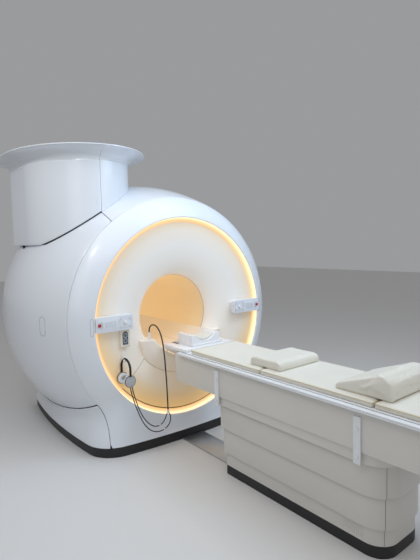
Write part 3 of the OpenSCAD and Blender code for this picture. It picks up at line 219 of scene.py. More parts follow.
def funnel_painted_glow(name, color, rough):
    """Moulded plastic with the ring's warm light painted in: base colour and an emission glow grow warmer
    near the ring and low down.
    """
    made = gloss(name, color, rough, coat=0.25)
    # Painted light: share of painted warm colour and glow, most near the ring and low down
    painted_glow_near_ring = made.spread(made.from_axis(), 0.62, 0.80, 0.0, 0.55)
    share = painted_glow_near_ring + made.spread(made.along("Z"), 1.15, 0.30, 0.0, 0.60)
    made.shader.inputs["Emission Strength"].default_value = 1.0
    made.put(
        Base_Color=made.ramp(
            share, (0.0, color), (0.35, (0.84, 0.79, 0.72)), (0.7, (0.80, 0.66, 0.46)),
            (1.0, (0.74, 0.56, 0.33))),
        Emission_Color=made.ramp(
            share, (0.0, (0.11, 0.10, 0.09)), (0.4, (0.11, 0.075, 0.035)), (0.8, (0.18, 0.10, 0.025)),
            (1.0, (0.28, 0.15, 0.03))))
    return made


def bore_painted_glow(name, color, rough, painted_glow):
    """Bore wall with painted light: an emission glow stands in for the light in the bore, more golden
    further in, with faint painted highlight streaks along it.
    """
    made = gloss(name, color, rough, coat=0.3)
    # Painted highlight streaks along the bore, and a painted glow that grows further in
    painted_streak = made.noise(1.0, 3.0, made.vector("MULTIPLY", made.here, (7.0, 0.6, 7.0)))
    share = made.spread(made.along("Y"), FRONT + 0.2, 0.5, 0.0, 0.8) + painted_streak * 0.25
    made.shader.inputs["Emission Strength"].default_value = 1.0
    faint, strong = [c * 0.55 for c in painted_glow], [c * 1.3 for c in painted_glow]
    made.put(Emission_Color=made.ramp(share, (0.0, faint), (0.5, painted_glow), (1.0, strong)))
    return made


FINISH = {
    "cover_white": gloss("cover_white", (0.80, 0.84, 0.90), 0.22),
    "diffuser": ring_light(),
    # Painted light: the funnel's and bore's warm colours and glows, with the tube's golden base colour,
    # stand in for the ring's warm light
    "funnel_white": funnel_painted_glow("funnel_white", (0.84, 0.82, 0.79), 0.34),
    "liner_white": bore_painted_glow("liner_white", (0.86, 0.82, 0.75), 0.22, (0.14, 0.09, 0.04)),
    "tube_white": bore_painted_glow("tube_white", (0.74, 0.64, 0.48), 0.3, (0.30, 0.185, 0.07)),
    "skirt_black": satin("skirt_black", (0.012, 0.012, 0.014), 0.45),
    "vessel_steel": brushed("vessel_steel", (0.60, 0.62, 0.65), 0.34),
    "former_resin": satin("former_resin", (0.62, 0.58, 0.42), 0.5),
    "winding_copper": brushed("winding_copper", (0.72, 0.40, 0.22), 0.35),
    "gradient_resin": satin("gradient_resin", (0.70, 0.68, 0.62), 0.5),
    "frame_grey": satin("frame_grey", (0.20, 0.22, 0.25), 0.5),
    "pipe_metal": brushed("pipe_metal", (0.78, 0.80, 0.82), 0.32),
    "board_white": gloss("board_white", (0.80, 0.84, 0.90), 0.3, coat=0.3),
    "display_cream": gloss("display_cream", (0.84, 0.79, 0.68), 0.3),
    "display_grey": gloss("display_grey", (0.12, 0.14, 0.17), 0.12),
    "stop_red": gloss("stop_red", (0.50, 0.01, 0.012), 0.25),
    "knob_white": gloss("knob_white", (0.88, 0.88, 0.88), 0.25),
    "hook_white": gloss("hook_white", (0.86, 0.86, 0.90), 0.25),
    "band_black": satin("band_black", (0.008, 0.008, 0.009), 0.4),
    "cup_grey": satin("cup_grey", (0.48, 0.49, 0.51), 0.5),
    "hose_black": satin("hose_black", (0.006, 0.006, 0.007), 0.42),
    "fitting_white": gloss("fitting_white", (0.80, 0.80, 0.80), 0.35),
    "duct_metal": brushed("duct_metal", (0.55, 0.57, 0.60), 0.4),
    "panel_grey": satin("panel_grey", (0.66, 0.64, 0.60), 0.42),
    "carrier_grey": satin("carrier_grey", (0.70, 0.68, 0.64), 0.38),
    "rail_white": gloss("rail_white", (0.80, 0.82, 0.84), 0.3, coat=0.3),
    "lift_grey": satin("lift_grey", (0.24, 0.26, 0.29), 0.5),
    "lift_bright": brushed("lift_bright", (0.66, 0.68, 0.70), 0.3),
    "board_gloss": gloss("board_gloss", (0.88, 0.88, 0.90), 0.18),
    "pad_cream": vinyl("pad_cream", (0.80, 0.775, 0.69)),
    "pad_seam": satin("pad_seam", (0.62, 0.50, 0.26), 0.5),
    "ear_pad": vinyl("ear_pad", (0.72, 0.73, 0.75)),
    # Brown of the painted shade lines in the service panel's seams
    "seam_shade_brown": satin("seam_shade_brown", (0.20, 0.14, 0.09), 0.5),
    "mark_grey": satin("mark_grey", (0.42, 0.43, 0.45), 0.45),
    "rim_grey": gloss("rim_grey", (0.42, 0.46, 0.52), 0.3),
    "coil_base": gloss("coil_base", (0.86, 0.86, 0.88), 0.28),
}


def wear(piece, slot):
    """Gives a piece the finish of a material slot."""
    piece.data.materials.clear()
    piece.data.materials.append(FINISH[slot].material)
    return piece


for part in frame["record"]["subparts"]:
    wear(nodes[part["node"]], part["material_slot"])


# ---- Floor and light ----
def set_stage():
    """A pale floor, a soft sky, large lamps overhead and small ones whose shine shows on the covers."""
    bpy.ops.mesh.primitive_plane_add(size=40, location=(0, 0, -0.0005))
    floor = bpy.context.object
    floor.name = "floor"
    floor.data.materials.append(Finish("floor_pale", (0.72, 0.71, 0.70), 0.55).material)
    world = bpy.data.worlds.new("soft_room")
    bpy.context.scene.world = world
    world.use_nodes = True
    sky = world.node_tree.nodes["Background"]
    sky.inputs["Color"].default_value = (0.90, 0.91, 0.93, 1)
    sky.inputs["Strength"].default_value = 0.36
    for name, place, aim, size, power, color in (
        ("ceiling", (-0.8, -2.2, 4.4), (0, -0.6, 0.8), 4.5, 76, (0.94, 0.965, 1.0)),
        ("side", (-4.6, -3.2, 2.6), (0, 0, 1.0), 2.6, 14, (1.0, 0.99, 0.97)),
        ("foot", (1.6, -5.4, 2.8), (0, -1.6, 0.6), 2.4, 15, (1.0, 0.97, 0.93)),
        ("sky_panel", (0.9, -2.3, 3.3), (0.1, -0.8, 1.7), 1.8, 26, (0.42, 0.70, 1.0)),
        ("downlight_1", (-2.0, -1.7, 3.1), (-1.0, -0.4, 1.4), 0.10, 5.0, (1.0, 1.0, 1.0)),
        ("downlight_2", (-2.3, -0.5, 3.1), (-1.0, 0.0, 1.4), 0.10, 5.0, (1.0, 1.0, 1.0)),
        ("downlight_3", (0.9, -2.4, 3.1), (0.4, -0.8, 1.4), 0.10, 5.0, (1.0, 1.0, 1.0)),
    ):
        data = bpy.data.lights.new(name, "AREA")
        data.size, data.energy, data.color = size, power, color
        lamp = bpy.data.objects.new(name, data)
        bpy.context.scene.collection.objects.link(lamp)
        lamp.location = place
        lamp.rotation_euler = (Vector(aim) - Vector(place)).to_track_quat("-Z", "Y").to_euler()
    bpy.context.scene.view_settings.view_transform = "Standard"


set_stage()

# ---- Ways of making a piece ----
def take(piece):
    """Selects one piece alone."""
    bpy.ops.object.select_all(action="DESELECT")
    piece.select_set(True)
    bpy.context.view_layer.objects.active = piece


def apply_steps(piece):
    """Applies a piece's modifiers."""
    take(piece)
    for step in list(piece.modifiers):
        bpy.ops.object.modifier_apply(modifier=step.name)


def edit(piece, *steps):
    """Runs steps on the whole mesh of a piece."""
    take(piece)
    bpy.ops.object.mode_set(mode="EDIT")
    bpy.ops.mesh.select_all(action="SELECT")
    for step in steps:
        step()
    bpy.ops.object.mode_set(mode="OBJECT")


def merge(reach):
    """A step that merges points closer than the reach."""
    return lambda: bpy.ops.mesh.remove_doubles(threshold=reach)


def face_out():
    """A step that turns all faces outwards."""
    bpy.ops.mesh.normals_make_consistent(inside=False)


def soften_edges(piece, width, angle):
    """Rounds a piece's edges that are sharper than an angle in degrees."""
    if width:
        step = piece.modifiers.new("soft edges", "BEVEL")
        step.width, step.segments = width, 3
        step.limit_method, step.angle_limit = "ANGLE", math.radians(angle)


def new_piece(name, data):
    """An object in the scene round a mesh or a curve."""
    piece = bpy.data.objects.new(name, data)
    bpy.context.scene.collection.objects.link(piece)
    return piece


def finish_piece(piece, name, slot, body="magnet", stands_for=(), smooth=35):
    """Names a piece, applies its modifiers, smooths it and puts it on its body."""
    apply_steps(piece)
    bpy.ops.object.transform_apply(location=True, rotation=True, scale=True)
    bpy.ops.object.shade_smooth_by_angle(angle=math.radians(smooth))
    piece.name = name
    wear(piece, slot)
    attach(piece, body)
    if stands_for:
        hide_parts(*stands_for)
    return piece


def mould(across, along, place, wall=0.0, soften=0.0):
    """A grid shaped by a rule: place(u, v) gives each vertex, with u and v from 0 to 1."""
    bpy.ops.mesh.primitive_grid_add(x_subdivisions=across, y_subdivisions=along, size=2)
    piece = bpy.context.object
    for vertex in piece.data.vertices:
        vertex.co = place((vertex.co.x + 1) / 2, (vertex.co.y + 1) / 2)
    if wall:
        step = piece.modifiers.new("wall", "SOLIDIFY")
        step.thickness, step.offset, step.use_even_offset = wall, -1, True
    soften_edges(piece, soften, 50)
    return piece


def polished(node, name, slot, body="magnet", soften=0.0):
    """A merged and smoothed copy of a model node, with its sharp edges softened."""
    piece = new_piece(name, nodes[node].data.copy())
    edit(piece, merge(0.00002), lambda: bpy.ops.mesh.dissolve_limited(angle_limit=math.radians(0.3)))
    soften_edges(piece, soften, 40)
    return finish_piece(piece, name, slot, body, (node,), 30)


def box_of(node):
    """Low and high corners of a model node."""
    places = [v.co for v in nodes[node].data.vertices]
    return ([min(p[i] for p in places) for i in range(3)], [max(p[i] for p in places) for i in range(3)])


def round_line(name, points, radius, resolution, closed=False):
    """A curve with a round section along points."""
    data = bpy.data.curves.new(name, "CURVE")
    data.dimensions, data.bevel_depth, data.bevel_resolution = "3D", radius, resolution
    data.use_fill_caps = not closed
    spline = data.splines.new("POLY")
    spline.points.add(len(points) - 1)
    for point, place in zip(spline.points, points):
        point.co = (*place, 1)
    spline.use_cyclic_u = closed
    return new_piece(name, data)


def bead(name, points, radius, slot, finish=None, body="magnet", closed=True):
    """A thin round line along points, as a mesh, that may wear another finish than its slot's."""
    take(round_line(name, points, radius, 2, closed))
    bpy.ops.object.convert(target="MESH")
    piece = finish_piece(bpy.context.object, name, slot, body, (), 60)
    return wear(piece, finish or slot)


def stadium(x0, x1, y0, y1, r, steps=10):
    """Points round a rectangle with round corners, in a plane."""
    corners = ((x1 - r, y1 - r, 0), (x0 + r, y1 - r, 90), (x0 + r, y0 + r, 180), (x1 - r, y0 + r, 270))
    return [(cx + r * math.cos(math.radians(start + 90 * i / steps)),
             cy + r * math.sin(math.radians(start + 90 * i / steps)))
            for cx, cy, start in corners for i in range(steps + 1)]


def circle(radius, steps):
    """Points round a circle about the origin of a plane."""
    turns = [2 * math.pi * k / steps for k in range(steps)]
    return [(radius * math.cos(a), radius * math.sin(a)) for a in turns]


def block(low, high, soften):
    """A softened block between two corners."""
    bpy.ops.mesh.primitive_cube_add(size=1)
    piece = bpy.context.object
    piece.dimensions = [b - a for a, b in zip(low, high)]
    piece.location = [(a + b) / 2 for a, b in zip(low, high)]
    step = piece.modifiers.new("soft edges", "BEVEL")
    step.width, step.segments = soften, 3
    return piece


def joined(pieces):
    """Pieces with their modifiers applied, joined into the first."""
    for piece in pieces:
        take(piece)
        bpy.ops.object.transform_apply(location=True, rotation=True, scale=True)
        apply_steps(piece)
    for piece in pieces:
        piece.select_set(True)
    bpy.context.view_layer.objects.active = pieces[0]
    bpy.ops.object.join()
    return pieces[0]


def mix(a, b, t):
    """A share of the way from a to b."""
    return a + (b - a) * t


def round_bore(radius, turn, depth):
    """A point at a radius and a turn from straight up, clockwise from the front, at a depth."""
    return Vector((radius * math.sin(turn), FRONT + depth, AXIS + radius * math.cos(turn)))


# ---- Hoses ----
def curve_through(points, steps=6):
    """Points of a smooth line through the route's points."""
    ends = [points[0] * 2 - points[1]] + points + [points[-1] * 2 - points[-2]]
    line = []
    for k in range(1, len(ends) - 2):
        a, b, c, d = ends[k - 1:k + 3]
        for i in range(steps):
            t = i / steps
            line.append(0.5 * ((2 * b) + (c - a) * t + (2 * a - 5 * b + 4 * c - d) * t * t
                               + (3 * b - a - 3 * c + d) * t ** 3))
    return line + [points[-1]]


def make_hose(name, route, radius):
    """A hanging hose along a route in millimetres."""
    line = curve_through([Vector(p) / 1000 for p in route])
    piece = wear(round_line(name, line, radius, 5), "hose_black")
    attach(piece, "magnet")
    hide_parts(name)
    length = sum((b - a).length for a, b in zip(line, line[1:]))


HOSE_MAIN = [
    (-335, -780, 944), (-335, -781, 962), (-334, -790, 985), (-332, -812, 1004), (-330, -845, 1012),
    (-328, -880, 1006), (-326, -912, 985), (-324, -938, 950), (-323, -958, 905), (-322, -972, 850),
    (-322, -982, 790), (-321, -990, 720), (-321, -996, 650), (-320, -1001, 580), (-320, -1005, 510),
    (-320, -1008, 445), (-320, -1010, 385), (-320, -1010, 346)]
HOSE_INNER = [
    (-331, -1010, 312), (-337, -1010, 300), (-345, -1008, 280), (-358, -1004, 256), (-378, -999, 236),
    (-403, -993, 226), (-432, -987, 228), (-462, -980, 245), (-490, -974, 272), (-514, -969, 306),
    (-535, -965, 346), (-553, -961, 391), (-569, -957, 440), (-583, -954, 488), (-594, -952, 530),
    (-599, -951, 557), (-600, -951, 572)]
HOSE_OUTER = [
    (-309, -1010, 312), (-303, -1010, 300), (-298, -1010, 282), (-298, -1010, 260), (-304, -1009, 236),
    (-317, -1006, 214), (-338, -1002, 195), (-367, -997, 182), (-398, -991, 178), (-432, -984, 184),
    (-466, -977, 203), (-496, -971, 234), (-522, -966, 275), (-545, -962, 324), (-565, -958, 378),
    (-583, -955, 432), (-598, -953, 484), (-610, -952, 530), (-615, -951, 557), (-616, -951, 572)]
make_hose("hose_main", HOSE_MAIN, 0.0055)
make_hose("hose_inner", HOSE_INNER, 0.004)
make_hose("hose_outer", HOSE_OUTER, 0.004)

# ---- Drum covers ----
SEAM = 0.100
LIP_R, LIP_FRONT = 0.850, 0.012
SEAM_R = RING_R + 0.172
DRUM_BOW, DRUM_MIDDLE = 2.15, 0.95
CROWN = SEAM_R + DRUM_BOW - math.sqrt(DRUM_BOW ** 2 - (DRUM_MIDDLE - SEAM) ** 2)
LENGTH = 1.70
APRON_TOP, APRON_RISE, APRON_LEVEL = 0.270, 0.158, 1.2
SKIRT_Z = 0.080


def drum(depth):
    """Radius of the drum at a depth behind the light ring."""
    return CROWN - DRUM_BOW + math.sqrt(DRUM_BOW ** 2 - (depth - DRUM_MIDDLE) ** 2)


def seam_level(depth):
    """Height of the seam between side cover and apron, which rises to the front."""
    share = max(0, (APRON_LEVEL - depth) / (APRON_LEVEL - SEAM))
    return APRON_TOP + APRON_RISE * share ** 3


# Plan of the base: bowed front and sides with a corner arc tangent to both
FRONT_BOW, SIDE_BOW, SKIRT_TURN = 4.970, 5.360, 0.250
SKIRT_FRONT, SKIRT_HALF, SKIRT_WIDEST = 0.052, 0.869, 0.740
FRONT_CENTRE = Vector((0, FRONT_BOW - SKIRT_FRONT))
SIDE_CENTRE = Vector((SKIRT_HALF - SIDE_BOW, SKIRT_WIDEST))


def corner_centre():
    """Where the circles about both centres, drawn in by the corner's radius, cross."""
    front, side = FRONT_BOW - SKIRT_TURN, SIDE_BOW - SKIRT_TURN
    line = SIDE_CENTRE - FRONT_CENTRE
    along = (front ** 2 - side ** 2 + line.length_squared) / (2 * line.length)
    unit = line.normalized()
    return FRONT_CENTRE + along * unit + math.sqrt(front ** 2 - along ** 2) * Vector((-unit.y, unit.x))


CORNER_CENTRE = corner_centre()
FRONT_JOINT = FRONT_CENTRE + FRONT_BOW * (CORNER_CENTRE - FRONT_CENTRE).normalized()
SIDE_JOINT = SIDE_CENTRE + SIDE_BOW * (CORNER_CENTRE - SIDE_CENTRE).normalized()


def skirt_depth(x):
    """Depth of the skirt's bowed front at a place across."""
    x = abs(x)
    if x <= FRONT_JOINT.x:
        return FRONT_CENTRE.y - math.sqrt(FRONT_BOW ** 2 - x * x)
    return CORNER_CENTRE.y - math.sqrt(max(0, SKIRT_TURN ** 2 - (x - CORNER_CENTRE.x) ** 2))


def skirt_half(depth):
    """Half width of the skirt at a depth behind its corner."""
    return SIDE_CENTRE.x + math.sqrt(SIDE_BOW ** 2 - (depth - SIDE_CENTRE.y) ** 2)


# Shares of the drop at which an apron's rib bends
KNEE, ANKLE = 0.35, 0.43


def apron_line(depth, foot, t):
    """A rib of the apron, from the round seam down to its foot."""
    z, r = seam_level(depth), drum(depth)
    x, drop = math.sqrt(r * r - (AXIS - z) ** 2), z - SKIRT_Z
    top, low = Vector((x, depth, z)), Vector((foot[0], foot[1], SKIRT_Z))
    knee = top - KNEE * drop / r * Vector((AXIS - z, 0, x))
    ankle = low + Vector((0, 0, ANKLE * drop))
    return (1 - t) ** 3 * top + 3 * t * (1 - t) ** 2 * knee + 3 * t * t * (1 - t) * ankle + t ** 3 * low


# Turns at which the cover's edge leaves the round seam and reaches its foot
FOOT_X = 0.738
CORNER = math.pi - math.acos((AXIS - seam_level(SEAM)) / SEAM_R)
FOOT = math.pi - 0.8 * (math.pi - CORNER)
# Shares of the front cover's section where its lip begins, its skin begins and its skin ends
LIP_AT, SKIN_AT, SKIN_END = 0.12, 0.20, 0.96


def cover_edge(turn):
    """Outer edge of the front cover at a turn from straight up, from 0 to pi."""
    if turn <= CORNER:
        return Vector((SEAM_R * math.sin(turn), SEAM, AXIS + SEAM_R * math.cos(turn)))
    if turn <= FOOT:
        return apron_line(SEAM, (FOOT_X, skirt_depth(FOOT_X)), (turn - CORNER) / (FOOT - CORNER))
    x = FOOT_X * (math.pi - turn) / (math.pi - FOOT)
    return Vector((x, skirt_depth(x), SKIRT_Z))


def front_cover_rule(u, v):
    """Lip, bellied skin and returned outer edge of the front cover."""
    turn = 2 * math.pi * u
    half, side = (turn, 1) if turn <= math.pi else (2 * math.pi - turn, -1)
    lip = Vector((LIP_R * math.sin(half), -LIP_FRONT, AXIS + LIP_R * math.cos(half)))
    edge = cover_edge(half)
    middle = Vector((mix(lip.x, edge.x, 0.667), mix(lip.y, edge.y, 0.375), mix(lip.z, edge.z, 0.667)))
    inner = Vector((RING_R / LIP_R * lip.x, -LIP_FRONT + 0.006, AXIS + RING_R / LIP_R * (lip.z - AXIS)))
    if v < LIP_AT:
        point = mix(Vector((inner.x, 0.028, inner.z)), inner, v / LIP_AT)
    elif v < SKIN_AT:
        t = (v - LIP_AT) / (SKIN_AT - LIP_AT)
        bulge = Vector((inner.x, -LIP_FRONT, inner.z))
        point = (1 - t) ** 2 * inner + 2 * t * (1 - t) * bulge + t * t * lip
    else:
        t = min(1, (v - SKIN_AT) / (SKIN_END - SKIN_AT))
        point = (1 - t) ** 2 * lip + 2 * t * (1 - t) * middle + t * t * edge
        if v > SKIN_END:
            back = (v - SKIN_END) / (1 - SKIN_END) * max(0, min(1, (CORNER - half) / 0.05))
            toward = Vector((-edge.x, 0, AXIS - edge.z)).normalized()
            point = edge + toward * 0.010 * back + Vector((0, 0.004 * back, 0))
    return Vector((side * point.x, FRONT + point.y, point.z))


piece = mould(241, 26, front_cover_rule, wall=0.006)
edit(piece, merge(0.00005))
finish_piece(piece, "front_cover", "cover_white", stands_for=["front_bezel"], smooth=50)

# Half of the gaps between covers, half width of the crown cover, and where the covers end
GAP = 0.002
SPLIT = 0.620
COVER_WALL = 0.008
REAR, APRON_REAR = LENGTH - 0.060, LENGTH - 0.009


def drum_panel(name, low, high, stands_for, across=60):
    """A part of the drum between two turns, each a rule of the depth."""
    def rule(u, v):
        depth = mix(SEAM + 2 * GAP, REAR, v)
        return round_bore(drum(depth), mix(high(depth), low(depth), u), depth)
    made = mould(across, 40, rule, wall=COVER_WALL, soften=0.003)
    finish_piece(made, name, "cover_white", stands_for=stands_for, smooth=40)


def to_split(depth, inset):
    """Turn at which the crown cover ends."""
    return math.asin((SPLIT + inset) / drum(depth))


def to_seam(depth):
    """Turn at which the side cover meets the apron."""
    return math.acos((seam_level(depth) + GAP - AXIS) / drum(depth))


drum_panel("crown_cover", lambda d: to_split(d, -GAP), lambda d: -to_split(d, -GAP), ["top_cover"])
drum_panel("flank_right", to_seam, lambda d: to_split(d, GAP), ["side_cover_right"], 70)
drum_panel("flank_left", lambda d: -to_split(d, GAP), lambda d: -to_seam(d), ["side_cover_left"], 70)


# The apron's share and depth that go round the skirt's corner
TURN_SHARE, TURN_END = 0.35, 0.300


def apron_foot(v):
    """Foot of the apron's rib, round the skirt's corner and then along its side."""
    if v < TURN_SHARE:
        start = -math.acos((FOOT_X + GAP - CORNER_CENTRE.x) / SKIRT_TURN)
        out = SIDE_JOINT - CORNER_CENTRE
        a = mix(start, math.atan2(out.y, out.x), v / TURN_SHARE)
        return CORNER_CENTRE + SKIRT_TURN * Vector((math.cos(a), math.sin(a)))
    depth = mix(SIDE_JOINT.y, APRON_REAR, (v - TURN_SHARE) / (1 - TURN_SHARE))
    return Vector((skirt_half(depth), depth))


def apron_rule(side):
    """The apron's skin on one side, from under the seam to the foot."""
    def rule(u, v):
        if v < TURN_SHARE:
            depth = mix(SEAM + 2 * GAP, TURN_END, v / TURN_SHARE)
        else:
            depth = mix(TURN_END, APRON_REAR, (v - TURN_SHARE) / (1 - TURN_SHARE))
        t = u if side < 0 else 1 - u
        p = apron_line(depth, apron_foot(v), mix(0.011, 1, t))
        return Vector((side * p.x, FRONT + p.y, p.z))
    return rule


for side, name in ((1, "right"), (-1, "left")):
    piece = mould(22, 80, apron_rule(side), wall=COVER_WALL, soften=0.003)
    finish_piece(piece, "skirt_cover_" + name, "cover_white", stands_for=["apron_" + name], smooth=40)

# ---- Rear cover, skirt and turret ----
polished("rear_cover", "rear_shell", "cover_white", soften=0.003)
polished("base_skirt", "kick_skirt", "skirt_black", soften=0.002)
TURRET_X, TURRET_Y = -0.588, FRONT + 0.907
TURRET_HALF, TURRET_NOSE, TURRET_CORNER = 0.444, 0.637, 0.300
TURRET_BACK = FRONT + 1.576
TURRET_SEAM = -0.620
FLARE_Z = AXIS + CROWN + 0.118
CEILING_Z = FLARE_Z + 0.090
TURRET_LOW = FLARE_Z - 0.673
FLARE_OUT, FLARE_GAP, SLIT = 0.147, 0.0008, 0.0015
SPOTS = 120


def turret_outline(grow, steps=40):
    """Plan of the turret from its left side round the front to its right side and back."""
    line = []
    for i in range(2 * steps + 1):
        a = math.pi * (1 + i / (2 * steps))
        half, nose = TURRET_HALF + grow, TURRET_NOSE + grow
        line.append((TURRET_X + half * math.cos(a), TURRET_Y + nose * math.sin(a)))
    for side, start in ((1, 0), (-1, 90)):
        x = TURRET_X + side * (TURRET_HALF - TURRET_CORNER)
        for i in range(steps // 2 + 1):
            a = math.radians(start + 90 * i / (steps // 2))
            reach = TURRET_CORNER + grow
            line.append((x + reach * math.cos(a), TURRET_BACK - TURRET_CORNER + reach * math.sin(a)))
    return line + [line[0]]


def cut_outline(line, keep, at):
    """The stretch of a closed plan on one side of the turret's seam, in even steps."""
    ring = line[:-1]
    start = next(i for i in range(len(ring)) if not keep(ring[i]) and keep(ring[(i + 1) % len(ring)]))
    turned = ring[start:] + ring[:start]
    inside = [p for p in turned if keep(p)]
    before, after = turned[0], turned[len(inside) + 1]

    def meet(a, b):
        t = (at - a[0]) / (b[0] - a[0])
        return (at, mix(a[1], b[1], t))
    return [meet(before, inside[0])] + inside + [meet(inside[-1], after)]


def along_line(line, t):
    """A point at a share of a line's length."""
    total = sum(math.dist(a, b) for a, b in zip(line, line[1:]))
    left = t * total
    for a, b in zip(line, line[1:]):
        step = math.dist(a, b)
        if left <= step:
            return (mix(a[0], b[0], left / step), mix(a[1], b[1], left / step))
        left -= step
    return line[-1]


def drum_top(x, y, gap):
    """Height of the drum's surface over a place on the floor, or the turret's lower edge."""
    depth = min(max(y - FRONT, 0), LENGTH)
    reach = drum(depth) + gap
    if abs(x) >= reach:
        return TURRET_LOW
    return max(TURRET_LOW, AXIS + math.sqrt(reach * reach - x * x))


def beside(side, at):
    """A test for points on one side of a seam across the turret."""
    return lambda p: side * (p[0] - at) > 0


def turret_part(name, node, side, gap):
    """The turret's wall on one side of its seam, a gap above the drum."""
    at = TURRET_SEAM + side * SLIT
    line = cut_outline(turret_outline(0), beside(side, at), at)
    spots = [along_line(line, i / SPOTS) for i in range(SPOTS + 1)]

    def rule(u, v):
        x, y = spots[round(u * SPOTS)]
        return Vector((x, y, mix(drum_top(x, y, gap), FLARE_Z - FLARE_GAP, v)))
    made = mould(SPOTS + 1, 24, rule, wall=COVER_WALL, soften=0.0025)
    finish_piece(made, name, "cover_white", stands_for=[node], smooth=40)


turret_part("turret_side", "turret_shell", -1, 0.012)
turret_part("turret_face", "turret_front", 1, 0.002)


def collar_rule(side, at):
    """The collar's quarter-round flare on one side of its seam."""
    def rule(u, v):
        swing = math.radians(90 * v)
        line = cut_outline(turret_outline(FLARE_OUT * (1 - math.cos(swing))), beside(side, at), at)
        x, y = along_line(line, u)
        return Vector((x, y, mix(FLARE_Z + FLARE_GAP, CEILING_Z, math.sin(swing))))
    return rule


for side, name, stands_for in ((-1, "left", ["ceiling_collar"]), (1, "right", [])):
    piece = mould(110, 20, collar_rule(side, TURRET_SEAM + side * 0.0018), wall=0.006)
    finish_piece(piece, "ceiling_flare_" + name, "cover_white", stands_for=stands_for, smooth=50)


# ---- Painted shadow strip, latch, grips and lines on the covers ----
def shadow_strip_rule(u, v):
    """A dark strip a little inside the turret's wall, over the drum: painted shade in the gap under the
    turret.
    """
    x, y = along_line(SHADOW_STRIP_LINE, u)
    return Vector((x, y, drum_top(x, y, 0.0) + mix(0.0005, 0.016, v)))


SHADOW_STRIP_LINE = cut_outline(turret_outline(-0.005), beside(-1, TURRET_SEAM), TURRET_SEAM)
# The dark strip is painted shade under the turret's wall
piece = mould(120, 3, shadow_strip_rule, wall=0.003)
finish_piece(piece, "turret_shadow_strip", "skirt_black")


latch = joined([block((-1.030, 0.165, 1.668), (-0.990, 0.215, 1.690), 0.003),
                block((-1.026, 0.180, 1.656), (-0.996, 0.200, 1.670), 0.003)])
finish_piece(latch, "turret_latch", "skirt_black")


for side, name in ((-1, "left"), (1, "right")):
    loop = [Vector((side * math.sqrt(drum(d) ** 2 - (z - AXIS) ** 2), FRONT + d, z))
            for d, z in stadium(0.335, 0.401, AXIS - 0.072, AXIS + 0.078, 0.0325)]
    bead("grip_line_" + name, loop, 0.0014, "cover_white", "frame_grey")
    loop = [front_cover_rule((side * turn / (2 * math.pi)) % 1, mix(SKIN_AT, SKIN_END, t))
            for t, turn in stadium(0.03, 0.13, math.pi / 2 - 0.085, math.pi / 2 + 0.065, 0.02, 4)]
    bead("service_line_" + name, loop, 0.0009, "cover_white", "frame_grey")

# ---- Light ring, funnel and bore ----
FUNNEL_R, FUNNEL_DEPTH = RING_IN - 0.006, 0.215
SERVICE_R = 0.500


def close_ends():
    """A step that closes the open ends of a wall."""
    bpy.ops.mesh.select_all(action="DESELECT")
    bpy.ops.mesh.select_non_manifold(extend=False, use_wire=False, use_multi_face=False,
                                     use_non_contiguous=False, use_verts=False)
    bpy.ops.mesh.edge_face_add()
    bpy.ops.mesh.select_all(action="SELECT")


def turned(name, slot, profile, stands_for, low=-180.0, high=180.0, steps=144, smooth=40, soften=0.0):
    """A wall turned about the bore's axis from a closed profile of radius and depth."""
    def rule(u, v):
        radius, depth = profile[round(v * (len(profile) - 1))]
        return round_bore(radius, math.radians(mix(low, high, u)), depth)
    made = mould(steps + 1, len(profile), rule, soften=soften)
    ends = [close_ends] if high - low < 360 else []
    edit(made, merge(0.00004), *ends, face_out)
    return finish_piece(made, name, slot, "magnet", stands_for, smooth)


def funnel_point(turn):
    """Radius and depth of the funnel's face at a share of its quarter turn."""
    a = math.radians(90 * turn)
    return (FUNNEL_R - (FUNNEL_R - BORE) * math.sin(a),
            FUNNEL_DEPTH - (FUNNEL_DEPTH - RING_DEPTH) * math.cos(a))


def funnel_wall(first, last, steps):
    """Profile of a stretch of the funnel's wall, face and back."""
    face = [funnel_point(mix(first, last, i / steps)) for i in range(steps + 1)]
    back = [(r, d + COVER_WALL) for r, d in reversed(face)]
    return face + back


def service_arc(radius, depth):
    """Points round the service panel's upper edge."""
    return [round_bore(radius, math.radians(SERVICE_FROM + SERVICE_SPAN * i / 60), depth) for i in range(61)]


SERVICE_TURN = math.degrees(math.asin((FUNNEL_R - SERVICE_R) / (FUNNEL_R - BORE))) / 90
SERVICE_FROM, SERVICE_SPAN, SERVICE_GAP = 130, 100, 0.07
LEDGE_R, SERVICE_RIM = RING_IN - 0.0003, 0.798
ring_face = [(0.8427, 0.0), (0.8415, 0.007), (0.8398, 0.015), (0.8380, 0.024), (0.8364, 0.0315),
             (0.8335, 0.0342), (0.827, 0.0351), (0.816, 0.0353), (RING_IN, RING_DEPTH)]
turned("lit_ring", "diffuser", ring_face + [(RING_IN, 0.039), (0.8427, 0.039), ring_face[0]],
       ["light_ring"], steps=216, smooth=60)
ledge = [(LEDGE_R, 0.043), (LEDGE_R, 0.035)]
turned("funnel_outer", "funnel_white", ledge + funnel_wall(0, SERVICE_TURN, 22) + ledge[:1], [],
       SERVICE_GAP - SERVICE_FROM, SERVICE_FROM - SERVICE_GAP, 156)
mouth = funnel_wall(SERVICE_TURN, 1, 26)
turned("funnel_mouth", "funnel_white", mouth + mouth[:1], ["front_funnel"], steps=216)
ledge = [(SERVICE_RIM, 0.0432), (SERVICE_RIM, 0.0352)]
turned("service_cover", "funnel_white", ledge + funnel_wall(0.06, SERVICE_TURN - 0.002, 16) + ledge[:1],
       ["service_panel"], SERVICE_FROM + SERVICE_GAP, SERVICE_FROM + SERVICE_SPAN - SERVICE_GAP, 60,
       soften=0.0012)
polished("bridge", "bridge_shoulder", "funnel_white", soften=0.004)
polished("bore_liner", "glide_liner", "liner_white", soften=0.001)
near, far = FUNNEL_DEPTH + 0.0003, LENGTH - 0.215
